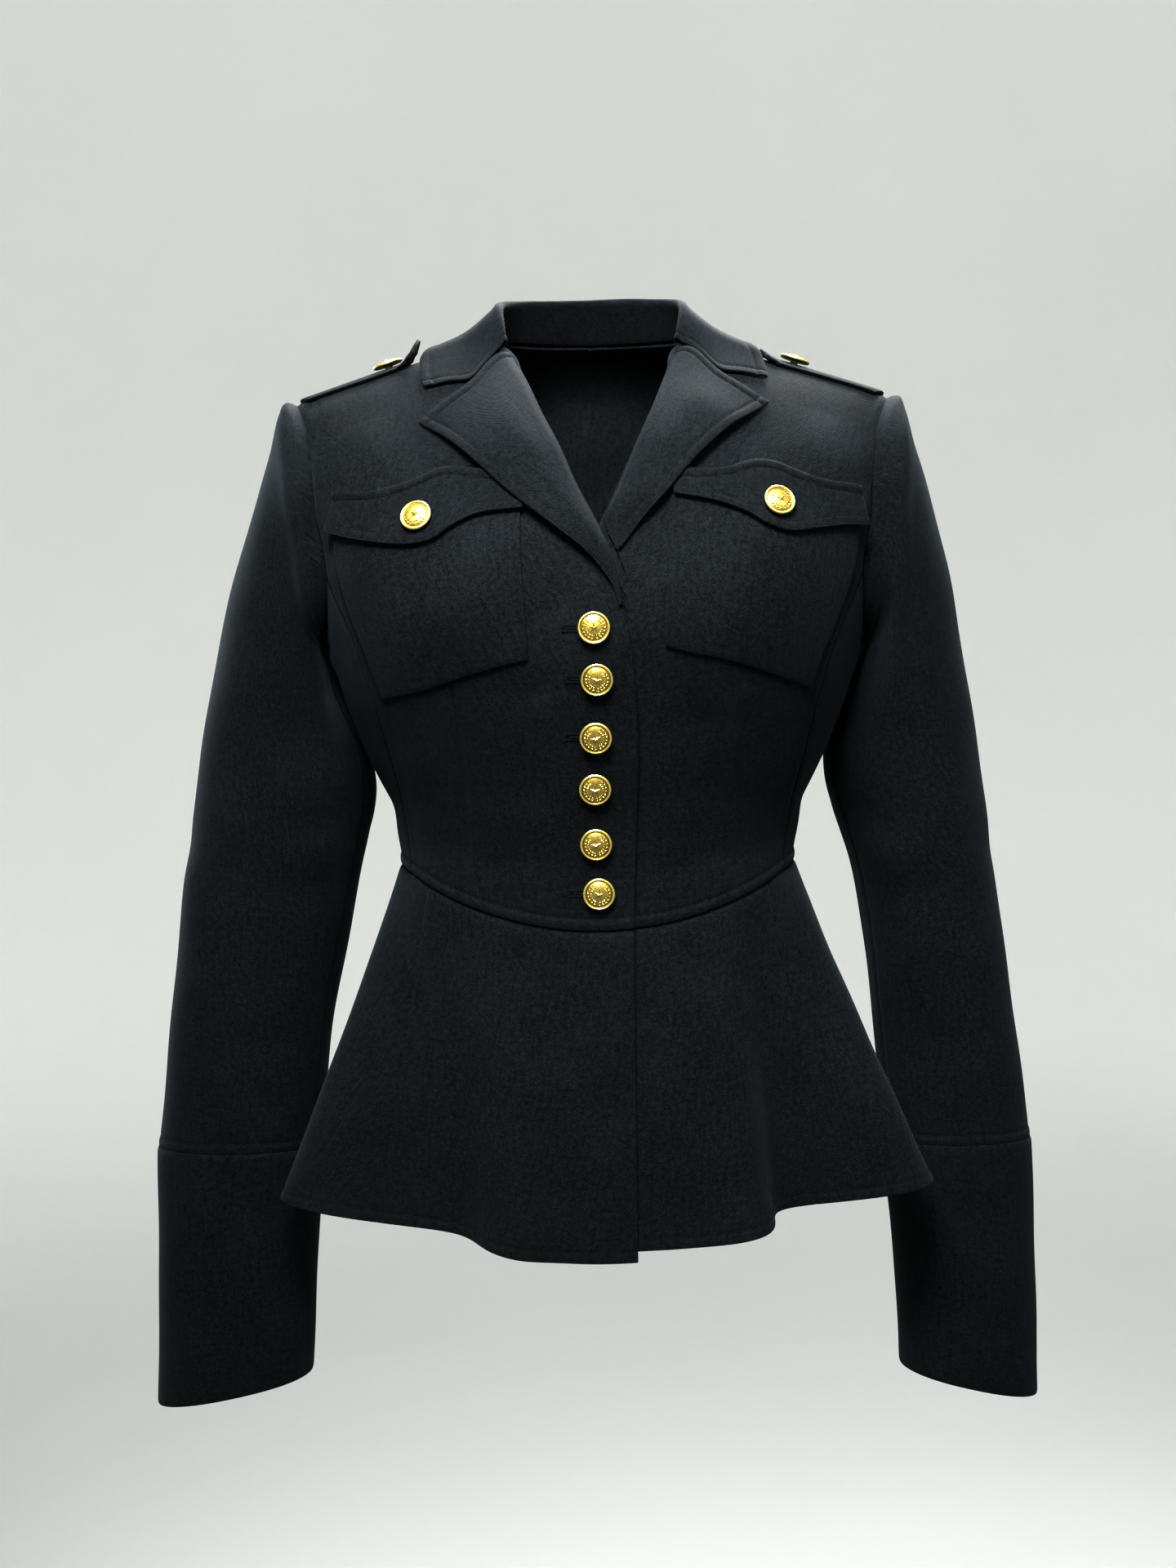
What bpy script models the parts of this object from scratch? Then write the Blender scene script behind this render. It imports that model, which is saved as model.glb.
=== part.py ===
"""Peplum jacket: cut pieces as closed cloth walls, laid on the form that the jacket has when worn.

Metres, +Z up. The origin is the nape, where the back neck seam crosses the centre back.
The front faces -Y. Right and left are the wearer's, so the right side lies at -X.
"""
import math

import bmesh
import bpy
import numpy as np
from mathutils import Vector

WALL = 0.0018
SLEEVE_WALL = 0.0015
LAPEL_WALL = 0.0022
COLLAR_WALL = 0.0018
SEAM = 0.0003
TRIM = SEAM / 2
LAID_ON = 0.0004

RIGHT = -1
LEFT = 1
SIDES = ((RIGHT, "right"), (LEFT, "left"))


class Table:
    """Rows with named columns, read on a smooth curve through them by the first column."""

    def __init__(self, names, *rows):
        self.names = names.split()
        self.rows = np.array(rows, dtype=float)
        self.keys = self.rows[:, 0]
        self.slopes = np.gradient(self.rows, self.keys, axis=0)

    def at(self, key):
        key = min(max(key, self.keys[0]), self.keys[-1])
        low = min(int(np.searchsorted(self.keys, key, side="right")) - 1, len(self.keys) - 2)
        span = self.keys[low + 1] - self.keys[low]
        t = (key - self.keys[low]) / span
        before, after = self.rows[low], self.rows[low + 1]
        value = (
            before * (1 + 2 * t) * (1 - t) ** 2
            + after * t * t * (3 - 2 * t)
            + self.slopes[low] * span * t * (1 - t) ** 2
            - self.slopes[low + 1] * span * t * t * (1 - t)
        )
        return dict(zip(self.names, value))

    def read(self, key, *columns):
        row = self.at(key)
        return tuple(row[column] for column in columns)


# Bodice sections, from below the waist to the neck
SECTIONS = Table(
    "height half_width front back side front_square back_square",
    (-0.375, 0.1310, -0.1790, 0.0030, -0.0880, 2.35, 2.3),
    (-0.345, 0.1268, -0.1785, 0.0005, -0.0880, 2.35, 2.3),
    (-0.325, 0.1255, -0.1800, 0.0010, -0.0870, 2.35, 2.3),
    (-0.300, 0.1300, -0.1835, 0.0040, -0.0855, 2.35, 2.3),
    (-0.260, 0.1475, -0.1925, 0.0120, -0.0820, 2.40, 2.3),
    (-0.220, 0.1632, -0.2000, 0.0205, -0.0780, 2.50, 2.4),
    (-0.180, 0.1725, -0.2020, 0.0270, -0.0730, 2.60, 2.5),
    (-0.140, 0.1775, -0.1930, 0.0295, -0.0680, 2.80, 2.7),
    (-0.100, 0.1870, -0.1720, 0.0280, -0.0640, 3.00, 3.0),
    (-0.060, 0.2000, -0.1450, 0.0240, -0.0620, 3.00, 3.0),
    (-0.020, 0.2130, -0.1180, 0.0225, -0.0610, 2.80, 2.8),
    (0.020, 0.2220, -0.0950, 0.0210, -0.0600, 2.60, 2.6),
)
BUST_ACROSS = 0.088
BUST_HEIGHT = -0.160
BUST_REACH = 0.007
BUST_WIDE = 0.042
BUST_TALL = 0.048

NECK_HALF = 0.068
NECK_TOP = 0.002
TIP_HALF = 0.190
SHOULDER_SLOPE = 0.33
NECK_SEAM_Y = -0.048
TIP_SEAM_Y = -0.062
FRONT_ROUND = 0.090
BACK_ROUND = 0.055

# Half widths of the armhole seam above its middle
ARMHOLE = Table(
    "height front_seam back_seam",
    (-0.1140, 0.1745, 0.1690),
    (-0.0980, 0.1755, 0.1695),
    (-0.0800, 0.1770, 0.1715),
    (-0.0600, 0.1800, 0.1765),
    (-0.0480, 0.1845, 0.1825),
    (-0.0383, 0.1900, 0.1900),
)
ARMHOLE_MIDDLE = -0.114
ARMHOLE_TOP = -0.0383
ARMHOLE_FOOT = -0.190
ARMHOLE_SQUARE = 2.5

WAIST_FRONT = -0.367
WAIST_SIDE = -0.331
WAIST_BACK = -0.338

# Half widths of the seams between front, side and back panels
PANEL_SEAMS = Table(
    "height front_seam back_seam",
    (-0.345, 0.1160, 0.1060),
    (-0.300, 0.1215, 0.1090),
    (-0.260, 0.1300, 0.1200),
    (-0.230, 0.1375, 0.1330),
    (-0.200, 0.1470, 0.1460),
    (-0.175, 0.1565, 0.1560),
    (-0.150, 0.1665, 0.1640),
)
PANEL_SEAM_TOP = -0.150
SEAM_BLEND = 0.040
SIDE_ROWS = 8
ARMHOLE_ROWS = 7
PANEL_ROWS = SIDE_ROWS + ARMHOLE_ROWS


def signed_power(value, power):
    return math.copysign(abs(value) ** power, value)


def past_neck(across):
    """How far a place lies past the side neck point, rounded off over the centre."""
    if abs(across) < NECK_HALF:
        return (across * across / NECK_HALF - NECK_HALF) / 2
    return abs(across) - NECK_HALF


def shoulder_height(across):
    return NECK_TOP - SHOULDER_SLOPE * past_neck(across)


def shoulder_depth(across):
    share = past_neck(across) / (TIP_HALF - NECK_HALF)
    return NECK_SEAM_Y + (TIP_SEAM_Y - NECK_SEAM_Y) * share


def rounded_over_shoulder(across, height, y, reach):
    """The depth y, drawn in to the shoulder seam as the height nears it."""
    drop = (shoulder_height(across) - height) / reach
    share = min(max(1.0 - drop, 0.0), 1.0)
    seam_y = shoulder_depth(across)
    return seam_y + (y - seam_y) * math.sqrt(1.0 - share * share)


def front_depth(across, height):
    """How far forward the bodice lies at a place seen from the front."""
    row = SECTIONS.at(height)
    ratio = min(abs(across) / row["half_width"], 1.0)
    square = row["front_square"]
    y = row["side"] + (row["front"] - row["side"]) * (1.0 - ratio ** square) ** (1.0 / square)
    away = ((abs(across) - BUST_ACROSS) / BUST_WIDE) ** 2 + ((height - BUST_HEIGHT) / BUST_TALL) ** 2
    y -= BUST_REACH * math.exp(-away)
    return rounded_over_shoulder(across, height, y, FRONT_ROUND)


def back_depth(across, height):
    row = SECTIONS.at(height)
    ratio = min(abs(across) / row["half_width"], 1.0)
    square = row["back_square"]
    y = row["side"] + (row["back"] - row["side"]) * (1.0 - ratio ** square) ** (1.0 / square)
    return rounded_over_shoulder(across, height, y, BACK_ROUND)


def turn_of(across, height, column):
    """Turn in degrees from the centre towards the side, at a half width."""
    row = SECTIONS.at(height)
    ratio = min(abs(across) / row["half_width"], 1.0)
    return math.degrees(math.asin(ratio ** (row[column] / 2.0)))


def half_width_of(turn, height, column):
    row = SECTIONS.at(height)
    return row["half_width"] * math.sin(math.radians(turn)) ** (2.0 / row[column])


def armhole_across(height, front):
    """Half width of the armhole seam at a height, on its front or its back run."""
    seam, square = ("front_seam", "front_square") if front else ("back_seam", "back_square")
    if height > ARMHOLE_MIDDLE:
        return ARMHOLE.at(height)[seam]
    widest = 90.0 - turn_of(ARMHOLE.at(ARMHOLE_MIDDLE)[seam], ARMHOLE_MIDDLE, square)
    drop = min((ARMHOLE_MIDDLE - height) / (ARMHOLE_MIDDLE - ARMHOLE_FOOT), 1.0)
    turn = 90.0 - widest * (1.0 - drop ** ARMHOLE_SQUARE) ** (1.0 / ARMHOLE_SQUARE)
    return half_width_of(turn, height, square)


def armhole_foot(turn):
    """Height of the lower armhole at a turn from the centre front."""
    front = turn <= 90.0
    seam, square = ("front_seam", "front_square") if front else ("back_seam", "back_square")
    widest = 90.0 - turn_of(ARMHOLE.at(ARMHOLE_MIDDLE)[seam], ARMHOLE_MIDDLE, square)
    reach = min(abs(turn - 90.0) / widest, 1.0)
    fall = (1.0 - reach ** ARMHOLE_SQUARE) ** (1.0 / ARMHOLE_SQUARE)
    return ARMHOLE_MIDDLE - (ARMHOLE_MIDDLE - ARMHOLE_FOOT) * fall


def panel_seam(height, front):
    """Half width of the seam in front of or behind the side panel; it ends on the armhole."""
    seam = "front_seam" if front else "back_seam"
    miss = armhole_across(PANEL_SEAM_TOP, front) - PANEL_SEAMS.at(PANEL_SEAM_TOP)[seam]
    return PANEL_SEAMS.at(height)[seam] + miss * eased(1.0 - (PANEL_SEAM_TOP - height) / SEAM_BLEND)


def body_point(turn, height):
    """Outer surface at a turn from the centre front, 0, past the side, 90, to the centre back, 180."""
    if turn <= 90.0:
        across = half_width_of(turn, height, "front_square")
        return np.array((across, front_depth(across, height), height))
    across = half_width_of(180.0 - turn, height, "back_square")
    return np.array((across, back_depth(across, height), height))


def waist_height(across, front):
    """The waist seam dips to the centre front and lies nearly level behind."""
    share = min(abs(across) / SECTIONS.at(WAIST_SIDE)["half_width"], 1.0) ** 2
    centre = WAIST_FRONT if front else WAIST_BACK
    return centre + (WAIST_SIDE - centre) * share


def mix(first, second, share):
    return first + (second - first) * share


def eased(share):
    share = min(max(share, 0.0), 1.0)
    return share * share * (3.0 - 2.0 * share)


def frame_at(surface, u, v):
    """Point and unit normal of surface(u, v); the normal points out where u runs to the wearer's left."""
    step = 0.002
    low_u, high_u = max(u - step, 0.0), min(u + step, 1.0)
    low_v, high_v = max(v - step, 0.0), min(v + step, 1.0)
    along_u = surface(high_u, v) - surface(low_u, v)
    along_v = surface(u, high_v) - surface(u, low_v)
    normal = np.cross(along_u, along_v)
    return surface(u, v), normal / max(np.linalg.norm(normal), 1e-12)


def mirrored(surface):
    """The same surface on the wearer's right, with u still running to the wearer's left."""
    def other(u, v):
        point = surface(1.0 - u, v)
        return np.array((-point[0], point[1], point[2]))
    return other


def on_side(surface, side):
    return surface if side == LEFT else mirrored(surface)


def share_of_distance(path, distance):
    """The share of a path at which it is the given distance from its start."""
    start = path(0.0)
    low, high = 0.0, 0.25
    for _ in range(30):
        middle = (low + high) / 2
        if np.linalg.norm(path(middle) - start) < distance:
            low = middle
        else:
            high = middle
    return high


def trimmed(surface, sides=TRIM, bottom=TRIM, top=TRIM):
    """The surface cut back at its edges, so that two pieces at a seam keep the seam's space."""
    u_low = share_of_distance(lambda share: surface(share, 0.5), sides)
    u_high = 1.0 - share_of_distance(lambda share: surface(1.0 - share, 0.5), sides)
    v_low = share_of_distance(lambda share: surface(0.5, share), bottom)
    v_high = 1.0 - share_of_distance(lambda share: surface(0.5, 1.0 - share), top)

    def cut(u, v):
        return surface(mix(u_low, u_high, u), mix(v_low, v_high, v))
    return cut


def raised(surface, lift):
    """The surface moved out by lift, a distance or a function of u and v."""
    def lifted(u, v):
        point, normal = frame_at(surface, u, v)
        return point + normal * (lift(u, v) if callable(lift) else lift)
    return lifted


def coons(bottom, top, left, right):
    """A patch between four edge curves; bottom and top run with u, left and right with v."""
    corners = bottom(0.0), bottom(1.0), top(0.0), top(1.0)

    def patch(u, v):
        edges = (1 - v) * bottom(u) + v * top(u) + (1 - u) * left(v) + u * right(v)
        flat = (1 - u) * (1 - v) * corners[0] + u * (1 - v) * corners[1]
        return edges - flat - (1 - u) * v * corners[2] - u * v * corners[3]
    return patch


def curve(*points):
    """A smooth open curve through points, read by its share of the length."""
    places = np.array(points, dtype=float)
    lengths = np.concatenate(([0.0], np.cumsum(np.linalg.norm(np.diff(places, axis=0), axis=1))))
    names = " ".join(["share"] + [f"c{index}" for index in range(places.shape[1])])
    table = Table(names, *np.column_stack((lengths / lengths[-1], places)))
    columns = names.split()[1:]

    def at(share):
        return np.array(table.read(share, *columns))
    return at


# Materials

def cloth_material(name, shade):
    material = bpy.data.materials.new(name)
    material.use_nodes = True
    shader = material.node_tree.nodes["Principled BSDF"]
    shader.inputs["Base Color"].default_value = (shade, shade * 1.02, shade * 1.08, 1.0)
    shader.inputs["Roughness"].default_value = 0.85
    shader.inputs["Metallic"].default_value = 0.0
    return material


def brass_material(name):
    material = bpy.data.materials.new(name)
    material.use_nodes = True
    shader = material.node_tree.nodes["Principled BSDF"]
    shader.inputs["Base Color"].default_value = (0.74, 0.54, 0.24, 1.0)
    shader.inputs["Roughness"].default_value = 0.32
    shader.inputs["Metallic"].default_value = 1.0
    return material


# Walls

def cloth_piece(name, across, along, surface, wall=WALL, shade=0.028):
    """A cut piece: a flat grid given its thickness, then laid on surface(u, v) with the wall inside it."""
    builder = bmesh.new()
    bmesh.ops.create_grid(builder, x_segments=across, y_segments=along, size=0.5)
    bmesh.ops.solidify(builder, geom=builder.faces[:], thickness=1.0)
    bmesh.ops.recalc_face_normals(builder, faces=builder.faces[:])
    frames = {}
    for vertex in builder.verts:
        u, v = round(vertex.co.x + 0.5, 6), round(vertex.co.y + 0.5, 6)
        if (u, v) not in frames:
            frames[u, v] = frame_at(surface, u, v)
        point, normal = frames[u, v]
        inside = 1.0 if vertex.co.z < -0.5 else 0.0
        vertex.co = Vector(point - normal * wall * inside)
    mesh = bpy.data.meshes.new(name)
    builder.to_mesh(mesh)
    builder.free()
    mesh.shade_smooth()
    mesh.set_sharp_from_angle(angle=math.radians(40.0))
    mesh.materials.append(cloth_material(name, shade))
    piece = bpy.data.objects.new(name, mesh)
    parts.objects.link(piece)
    return piece


# Fronts

# Closing edge and roll line of each front; across is towards the piece's own side
CLOSING_EDGE = {
    RIGHT: Table(
        "height across",
        (-0.3720, -0.0220),
        (-0.2000, -0.0220),
        (-0.1780, -0.0190),
        (-0.1505, -0.0141),
        (-0.1412, -0.0118),
        (-0.1181, -0.0023),
        (-0.0925, 0.0107),
        (-0.0731, 0.0190),
        (-0.0485, 0.0310),
        (-0.0223, 0.0434),
        (-0.0060, 0.0530),
        (0.0020, 0.0680),
    ),
    LEFT: Table(
        "height across",
        (-0.3720, -0.0220),
        (-0.2000, -0.0220),
        (-0.1600, -0.0180),
        (-0.1400, -0.0080),
        (-0.1176, 0.0038),
        (-0.0958, 0.0141),
        (-0.0752, 0.0234),
        (-0.0525, 0.0343),
        (-0.0234, 0.0464),
        (-0.0040, 0.0560),
        (0.0020, 0.0680),
    ),
}
UNDERLAP = 0.0034
UNDERLAP_FROM = 0.020
UNDERLAP_TO = 0.046
# Powers that set rows closer at the shoulder, and columns closer at the outer edge
SHOULDER_CROWDING = 1.4
EDGE_CROWDING = 1.25
FRONT_EDGE_MIDDLE = -0.168
BACK_EDGE_MIDDLE = -0.145


def outer_edge(height, front):
    """Half width of a front's or back's outer edge: the panel seam, then the armhole seam."""
    if height < PANEL_SEAM_TOP:
        return panel_seam(height, front)
    return armhole_across(height, front)


def level(v, bottom, middle, top):
    """Height on a front or back edge: bottom to middle beside the side panel, then up to top."""
    joint = SIDE_ROWS / PANEL_ROWS
    if v < joint:
        return mix(bottom, middle, v / joint)
    return mix(middle, top, 1.0 - (1.0 - (v - joint) / (1.0 - joint)) ** SHOULDER_CROWDING)


def front_skin(side, across, height):
    """Outer surface of a front at a place; the left front drops behind the right one at the closing."""
    y = front_depth(across, height)
    if side == LEFT:
        y += UNDERLAP * (1.0 - eased((across - UNDERLAP_FROM) / (UNDERLAP_TO - UNDERLAP_FROM)))
    return np.array((across, y, height))


def front_surface(side):
    """A front from the waist seam to the shoulder seam; the left one passes under the right one."""
    edge = CLOSING_EDGE[side]
    edge_bottom = waist_height(edge.rows[0][1], True)
    seam_bottom = waist_height(panel_seam(WAIST_SIDE, True), True)

    def surface(u, v):
        edge_height = level(v, edge_bottom, FRONT_EDGE_MIDDLE, NECK_TOP)
        outer_height = level(v, seam_bottom, PANEL_SEAM_TOP, ARMHOLE_TOP)
        share = 1.0 - (1.0 - u) ** EDGE_CROWDING
        start = edge.at(edge_height)["across"]
        across = mix(start, outer_edge(outer_height, True), share)
        height = mix(edge_height, outer_height, share)
        bottom = waist_height(across, True) - mix(edge_bottom, seam_bottom, share)
        height += bottom * (1.0 - v) ** 4
        return front_skin(side, across, height)
    return surface


# Side panels and backs

def side_surface(u, v):
    """Between the front and back seams, from the waist seam to the foot of the armhole."""
    share = 0.5 - 0.5 * math.cos(math.pi * u)

    def turns(height):
        front_turn = turn_of(panel_seam(height, True), height, "front_square")
        back_turn = 180.0 - turn_of(panel_seam(height, False), height, "back_square")
        return mix(front_turn, back_turn, share)

    top = armhole_foot(turns(PANEL_SEAM_TOP))
    waist_turn = turns(WAIST_SIDE)
    in_front = waist_turn <= 90.0
    square = "front_square" if in_front else "back_square"
    near = half_width_of(min(waist_turn, 180.0 - waist_turn), WAIST_SIDE, square)
    height = mix(waist_height(near, in_front), top, v)
    return body_point(turns(height), height)


def back_surface(u, v):
    """From the centre back to the back seam and armhole; u runs from the centre back to the side."""
    share = 1.0 - (1.0 - u) ** EDGE_CROWDING
    seam_across = panel_seam(WAIST_SIDE, False)
    outer_height = level(v, waist_height(seam_across, False), PANEL_SEAM_TOP, ARMHOLE_TOP)
    top_across = TIP_HALF * share
    top = shoulder_height(top_across)
    if top_across < NECK_HALF:
        top = NECK_TOP * (top_across / NECK_HALF) ** 2
    middle = mix(BACK_EDGE_MIDDLE, PANEL_SEAM_TOP, share)
    height = level(v, waist_height(seam_across * share, False), middle, top)
    across = outer_edge(outer_height, False) * share
    return np.array((across, back_depth(across, height), height))


# Peplum

PEPLUM_CENTRE_Y = -0.088
HEM_HALF_WIDTH = 0.199
HEM_FRONT = 0.121
HEM_BACK = 0.148
HEM_SIDE_HEIGHT = {RIGHT: -0.539, LEFT: -0.531}
HEM_FRONT_DIP = 0.6
HEM_BACK_DIP = 1.0
HEM_BACK_HEIGHT = -0.556
HEM_FRONT_HEIGHT = {RIGHT: -0.567, LEFT: -0.561}
WAIST_GAP = 0.0005
WAIST_HALF_WIDTH = 0.126
WAIST_ROUNDS = 4
PEPLUM_FLARE = 1.05

# Flutes: turn from the centre front, half its width in degrees, and how far the hem stands out or in
FLUTES = {
    RIGHT: (
        (22.0, 12.0, 0.005),
        (49.0, 15.0, -0.027),
        (78.0, 11.0, 0.016),
        (98.0, 11.0, -0.030),
        (118.0, 11.0, 0.018),
        (140.0, 11.0, -0.014),
        (161.0, 10.0, 0.014),
        (180.0, 9.0, -0.010),
    ),
    LEFT: (
        (37.0, 12.0, 0.013),
        (57.0, 10.0, -0.028),
        (77.0, 10.5, 0.025),
        (98.0, 12.0, -0.033),
        (118.0, 11.0, 0.018),
        (139.0, 11.0, -0.014),
        (160.0, 10.0, 0.014),
        (180.0, 9.0, -0.010),
    ),
}
# The two fronts overlap about the centre, so the flutes only start beside it
FLUTES_FROM = 9.0
FLUTES_FULL = 24.0


def ring_reach(turn, half_width, front, back, square):
    """Distance from the centre to a ring that is half_width wide, at a turn from the centre front."""
    sine, cosine = abs(math.sin(math.radians(turn))), math.cos(math.radians(turn))
    depth = front if cosine > 0.0 else back
    return ((sine / half_width) ** square + (abs(cosine) / depth) ** square) ** (-1.0 / square)


def peplum_point(side, size, drop):
    """Outer surface of the peplum on one side; size is the turn from the centre front in degrees."""
    sine, cosine = math.sin(math.radians(size)), math.cos(math.radians(size))
    front = cosine > 0.0
    across = WAIST_HALF_WIDTH * sine
    for _ in range(WAIST_ROUNDS):
        waist = waist_height(across, front)
        row = SECTIONS.at(waist)
        waist_reach = ring_reach(
            size, row["half_width"], row["side"] - row["front"], row["back"] - row["side"],
            row["front_square" if front else "back_square"],
        )
        across = waist_reach * sine
    hem_reach = ring_reach(size, HEM_HALF_WIDTH, HEM_FRONT, HEM_BACK, 2.0)
    fluted = eased((size - FLUTES_FROM) / (FLUTES_FULL - FLUTES_FROM))
    for middle, half, out in FLUTES[side]:
        hem_reach += fluted * out * math.exp(-(((size - middle) / half) ** 2))
    centre_hem = HEM_FRONT_HEIGHT[side] if front else HEM_BACK_HEIGHT
    dip = HEM_FRONT_DIP if front else HEM_BACK_DIP
    hem = mix(HEM_SIDE_HEIGHT[side], centre_hem, abs(cosine) ** (2.0 * dip))
    top = waist - WAIST_GAP
    reach = mix(waist_reach, hem_reach, drop ** PEPLUM_FLARE)
    y = PEPLUM_CENTRE_Y + (row["side"] - PEPLUM_CENTRE_Y) * (1.0 - drop) - reach * cosine
    return np.array((side * reach * sine, y, mix(top, hem, drop)))


# Turns at which the peplum pieces meet; the fronts reach past the centre
CLOSING_TURN = -10.2
PEPLUM_FRONT_TURN = 62.0
PEPLUM_SIDE_TURN = 128.0


def peplum_surface(side, first_turn, last_turn):
    """A peplum piece between two turns; negative turns reach past the centre front."""
    def surface(u, v):
        point = peplum_point(side, mix(first_turn, last_turn, u), 1.0 - v)
        if side == LEFT:
            across = point[0]
            hidden = 1.0 - eased((across - UNDERLAP_FROM) / (UNDERLAP_TO - UNDERLAP_FROM))
            point = point + np.array((0.0, UNDERLAP * hidden, 0.0))
        return point
    return surface


def peplum_back_surface(u, v):
    """Round the back from the left side to the right one."""
    turn = mix(PEPLUM_SIDE_TURN, 360.0 - PEPLUM_SIDE_TURN, u)
    if turn > 180.0:
        return peplum_point(RIGHT, 360.0 - turn, 1.0 - v)
    return peplum_point(LEFT, turn, 1.0 - v)


# Sleeves

# From the sleeve head to the cuff seam: outer and inner height, then their places on each arm
SLEEVE = Table(
    "run top under out_right in_right out_left in_left front back square",
    (0.00, -0.0383, -0.1900, 0.1900, 0.1728, 0.1900, 0.1728, -0.1250, -0.0090, 2.5),
    (0.05, -0.0392, -0.1920, 0.1960, 0.1735, 0.1960, 0.1735, -0.1260, -0.0080, 2.6),
    (0.10, -0.0460, -0.1950, 0.2005, 0.1740, 0.2005, 0.1740, -0.1255, -0.0075, 2.7),
    (0.17, -0.0680, -0.1990, 0.2055, 0.1735, 0.2055, 0.1735, -0.1245, -0.0070, 2.6),
    (0.25, -0.0940, -0.2040, 0.2140, 0.1725, 0.2130, 0.1725, -0.1235, -0.0060, 2.5),
    (0.34, -0.1240, -0.2100, 0.2235, 0.1705, 0.2210, 0.1705, -0.1225, -0.0055, 2.4),
    (0.42, -0.1550, -0.2170, 0.2325, 0.1680, 0.2285, 0.1680, -0.1210, -0.0055, 2.3),
    (0.50, -0.1880, -0.2280, 0.2410, 0.1640, 0.2345, 0.1640, -0.1190, -0.0065, 2.2),
    (0.57, -0.2200, -0.2440, 0.2480, 0.1570, 0.2400, 0.1570, -0.1160, -0.0085, 2.2),
    (0.63, -0.2520, -0.2640, 0.2545, 0.1490, 0.2455, 0.1500, -0.1130, -0.0110, 2.15),
    (0.69, -0.2870, -0.2900, 0.2600, 0.1450, 0.2505, 0.1510, -0.1110, -0.0140, 2.1),
    (0.78, -0.3500, -0.3500, 0.2690, 0.1560, 0.2590, 0.1670, -0.1080, -0.0170, 2.1),
    (0.89, -0.4350, -0.4350, 0.2795, 0.1730, 0.2700, 0.1780, -0.1060, -0.0200, 2.1),
    (1.00, -0.5190, -0.5190, 0.2885, 0.1830, 0.2805, 0.1850, -0.1040, -0.0220, 2.1),
)
CUFF = Table(
    "run top under out_right in_right out_left in_left front back square",
    (0.00, -0.5190, -0.5190, 0.2895, 0.1820, 0.2815, 0.1840, -0.1050, -0.0210, 2.2),
    (0.50, -0.6040, -0.5960, 0.2915, 0.1870, 0.2845, 0.1915, -0.1030, -0.0230, 2.2),
    (1.00, -0.6900, -0.6700, 0.2935, 0.1910, 0.2860, 0.1950, -0.1010, -0.0250, 2.2),
)
# Around the arm: 0 is the top or outer side, 90 the front, 180 the inner side, 270 the back
FRONT_ARM_SEAM = 156.0
BACK_ARM_SEAM = 250.0
CUFF_SEAM_TURN = 250.0


def armhole_point(around):
    """The armhole seam of the bodice, at a turn around it."""
    rise = signed_power(math.cos(math.radians(around)), 2.0 / ARMHOLE_SQUARE)
    end = ARMHOLE_TOP if rise > 0.0 else ARMHOLE_FOOT
    height = mix(ARMHOLE_MIDDLE, end, abs(rise))
    front = math.sin(math.radians(around)) > 0.0
    across = armhole_across(height, front)
    y = front_depth(across, height) if front else back_depth(across, height)
    return np.array((across, y, height))


def arm_point(table, run, around, name):
    """Outer surface of a sleeve or cuff, as a section between its outer and inner edges."""
    row = table.at(run)
    outer = np.array((row["out_" + name], row["top"]))
    inner = np.array((row["in_" + name], row["under"]))
    power = 2.0 / row["square"]
    rise = signed_power(math.cos(math.radians(around)), power)
    forward = signed_power(math.sin(math.radians(around)), power)
    place = (outer + inner) / 2 + (outer - inner) / 2 * rise
    y = (row["front"] + row["back"]) / 2 + (row["front"] - row["back"]) / 2 * forward
    return np.array((place[0], y, place[1]))


# Shares of the sleeve's length in which it leaves the armhole seam, and takes its own depth
HEAD_BLEND = 0.05
SETTLED = 0.32
HEAD_CROWDING = 1.25
ARMHOLE_GAP = 0.0009


def sleeve_surface(name, first, last):
    """A sleeve piece between two turns around the arm; v runs from the cuff seam up to the armhole."""
    def surface(u, v):
        around = mix(last, first, u)
        run = max(1.0 - v, 0.0) ** HEAD_CROWDING
        point = arm_point(SLEEVE, max(run, HEAD_BLEND), around, name)
        seam = armhole_point(around) + np.array((ARMHOLE_GAP, 0.0, 0.0))
        point[1] = mix(seam[1], point[1], eased(run / SETTLED))
        return mix(seam, point, min(run / HEAD_BLEND, 1.0))
    return surface


def cuff_surface(name):
    def surface(u, v):
        around = mix(CUFF_SEAM_TURN, CUFF_SEAM_TURN - 360.0, u)
        return arm_point(CUFF, 1.0 - v, around, name)
    return surface


# Lapels

# Outer edges from the lowest point up to the tip
LAPEL_EDGE = {
    RIGHT: curve(
        (-0.0144, -0.1690), (-0.0106, -0.1572), (-0.0005, -0.1436), (0.0252, -0.1232),
        (0.0498, -0.1040), (0.0718, -0.0841), (0.0945, -0.0646), (0.1083, -0.0560),
    ),
    LEFT: curve(
        (0.0160, -0.1345), (0.0253, -0.1238), (0.0414, -0.1079), (0.0520, -0.0948),
        (0.0688, -0.0772), (0.0825, -0.0653), (0.0997, -0.0535), (0.1104, -0.0460),
    ),
}
# Roll line of the lapel's lower end up to the gorge; the left one stops beside the right front
LAPEL_ROLL = {
    RIGHT: curve(
        (-0.0170, -0.1680), (-0.0139, -0.1505), (-0.0118, -0.1412), (-0.0023, -0.1181), (0.0107, -0.0925),
        (0.0190, -0.0731), (0.0310, -0.0485), (0.0434, -0.0223), (0.0515, -0.0088),
    ),
    LEFT: curve(
        (0.0136, -0.1360), (0.0062, -0.1215), (0.0141, -0.0958), (0.0234, -0.0752),
        (0.0343, -0.0525), (0.0464, -0.0234), (0.0545, -0.0078),
    ),
}
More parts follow.
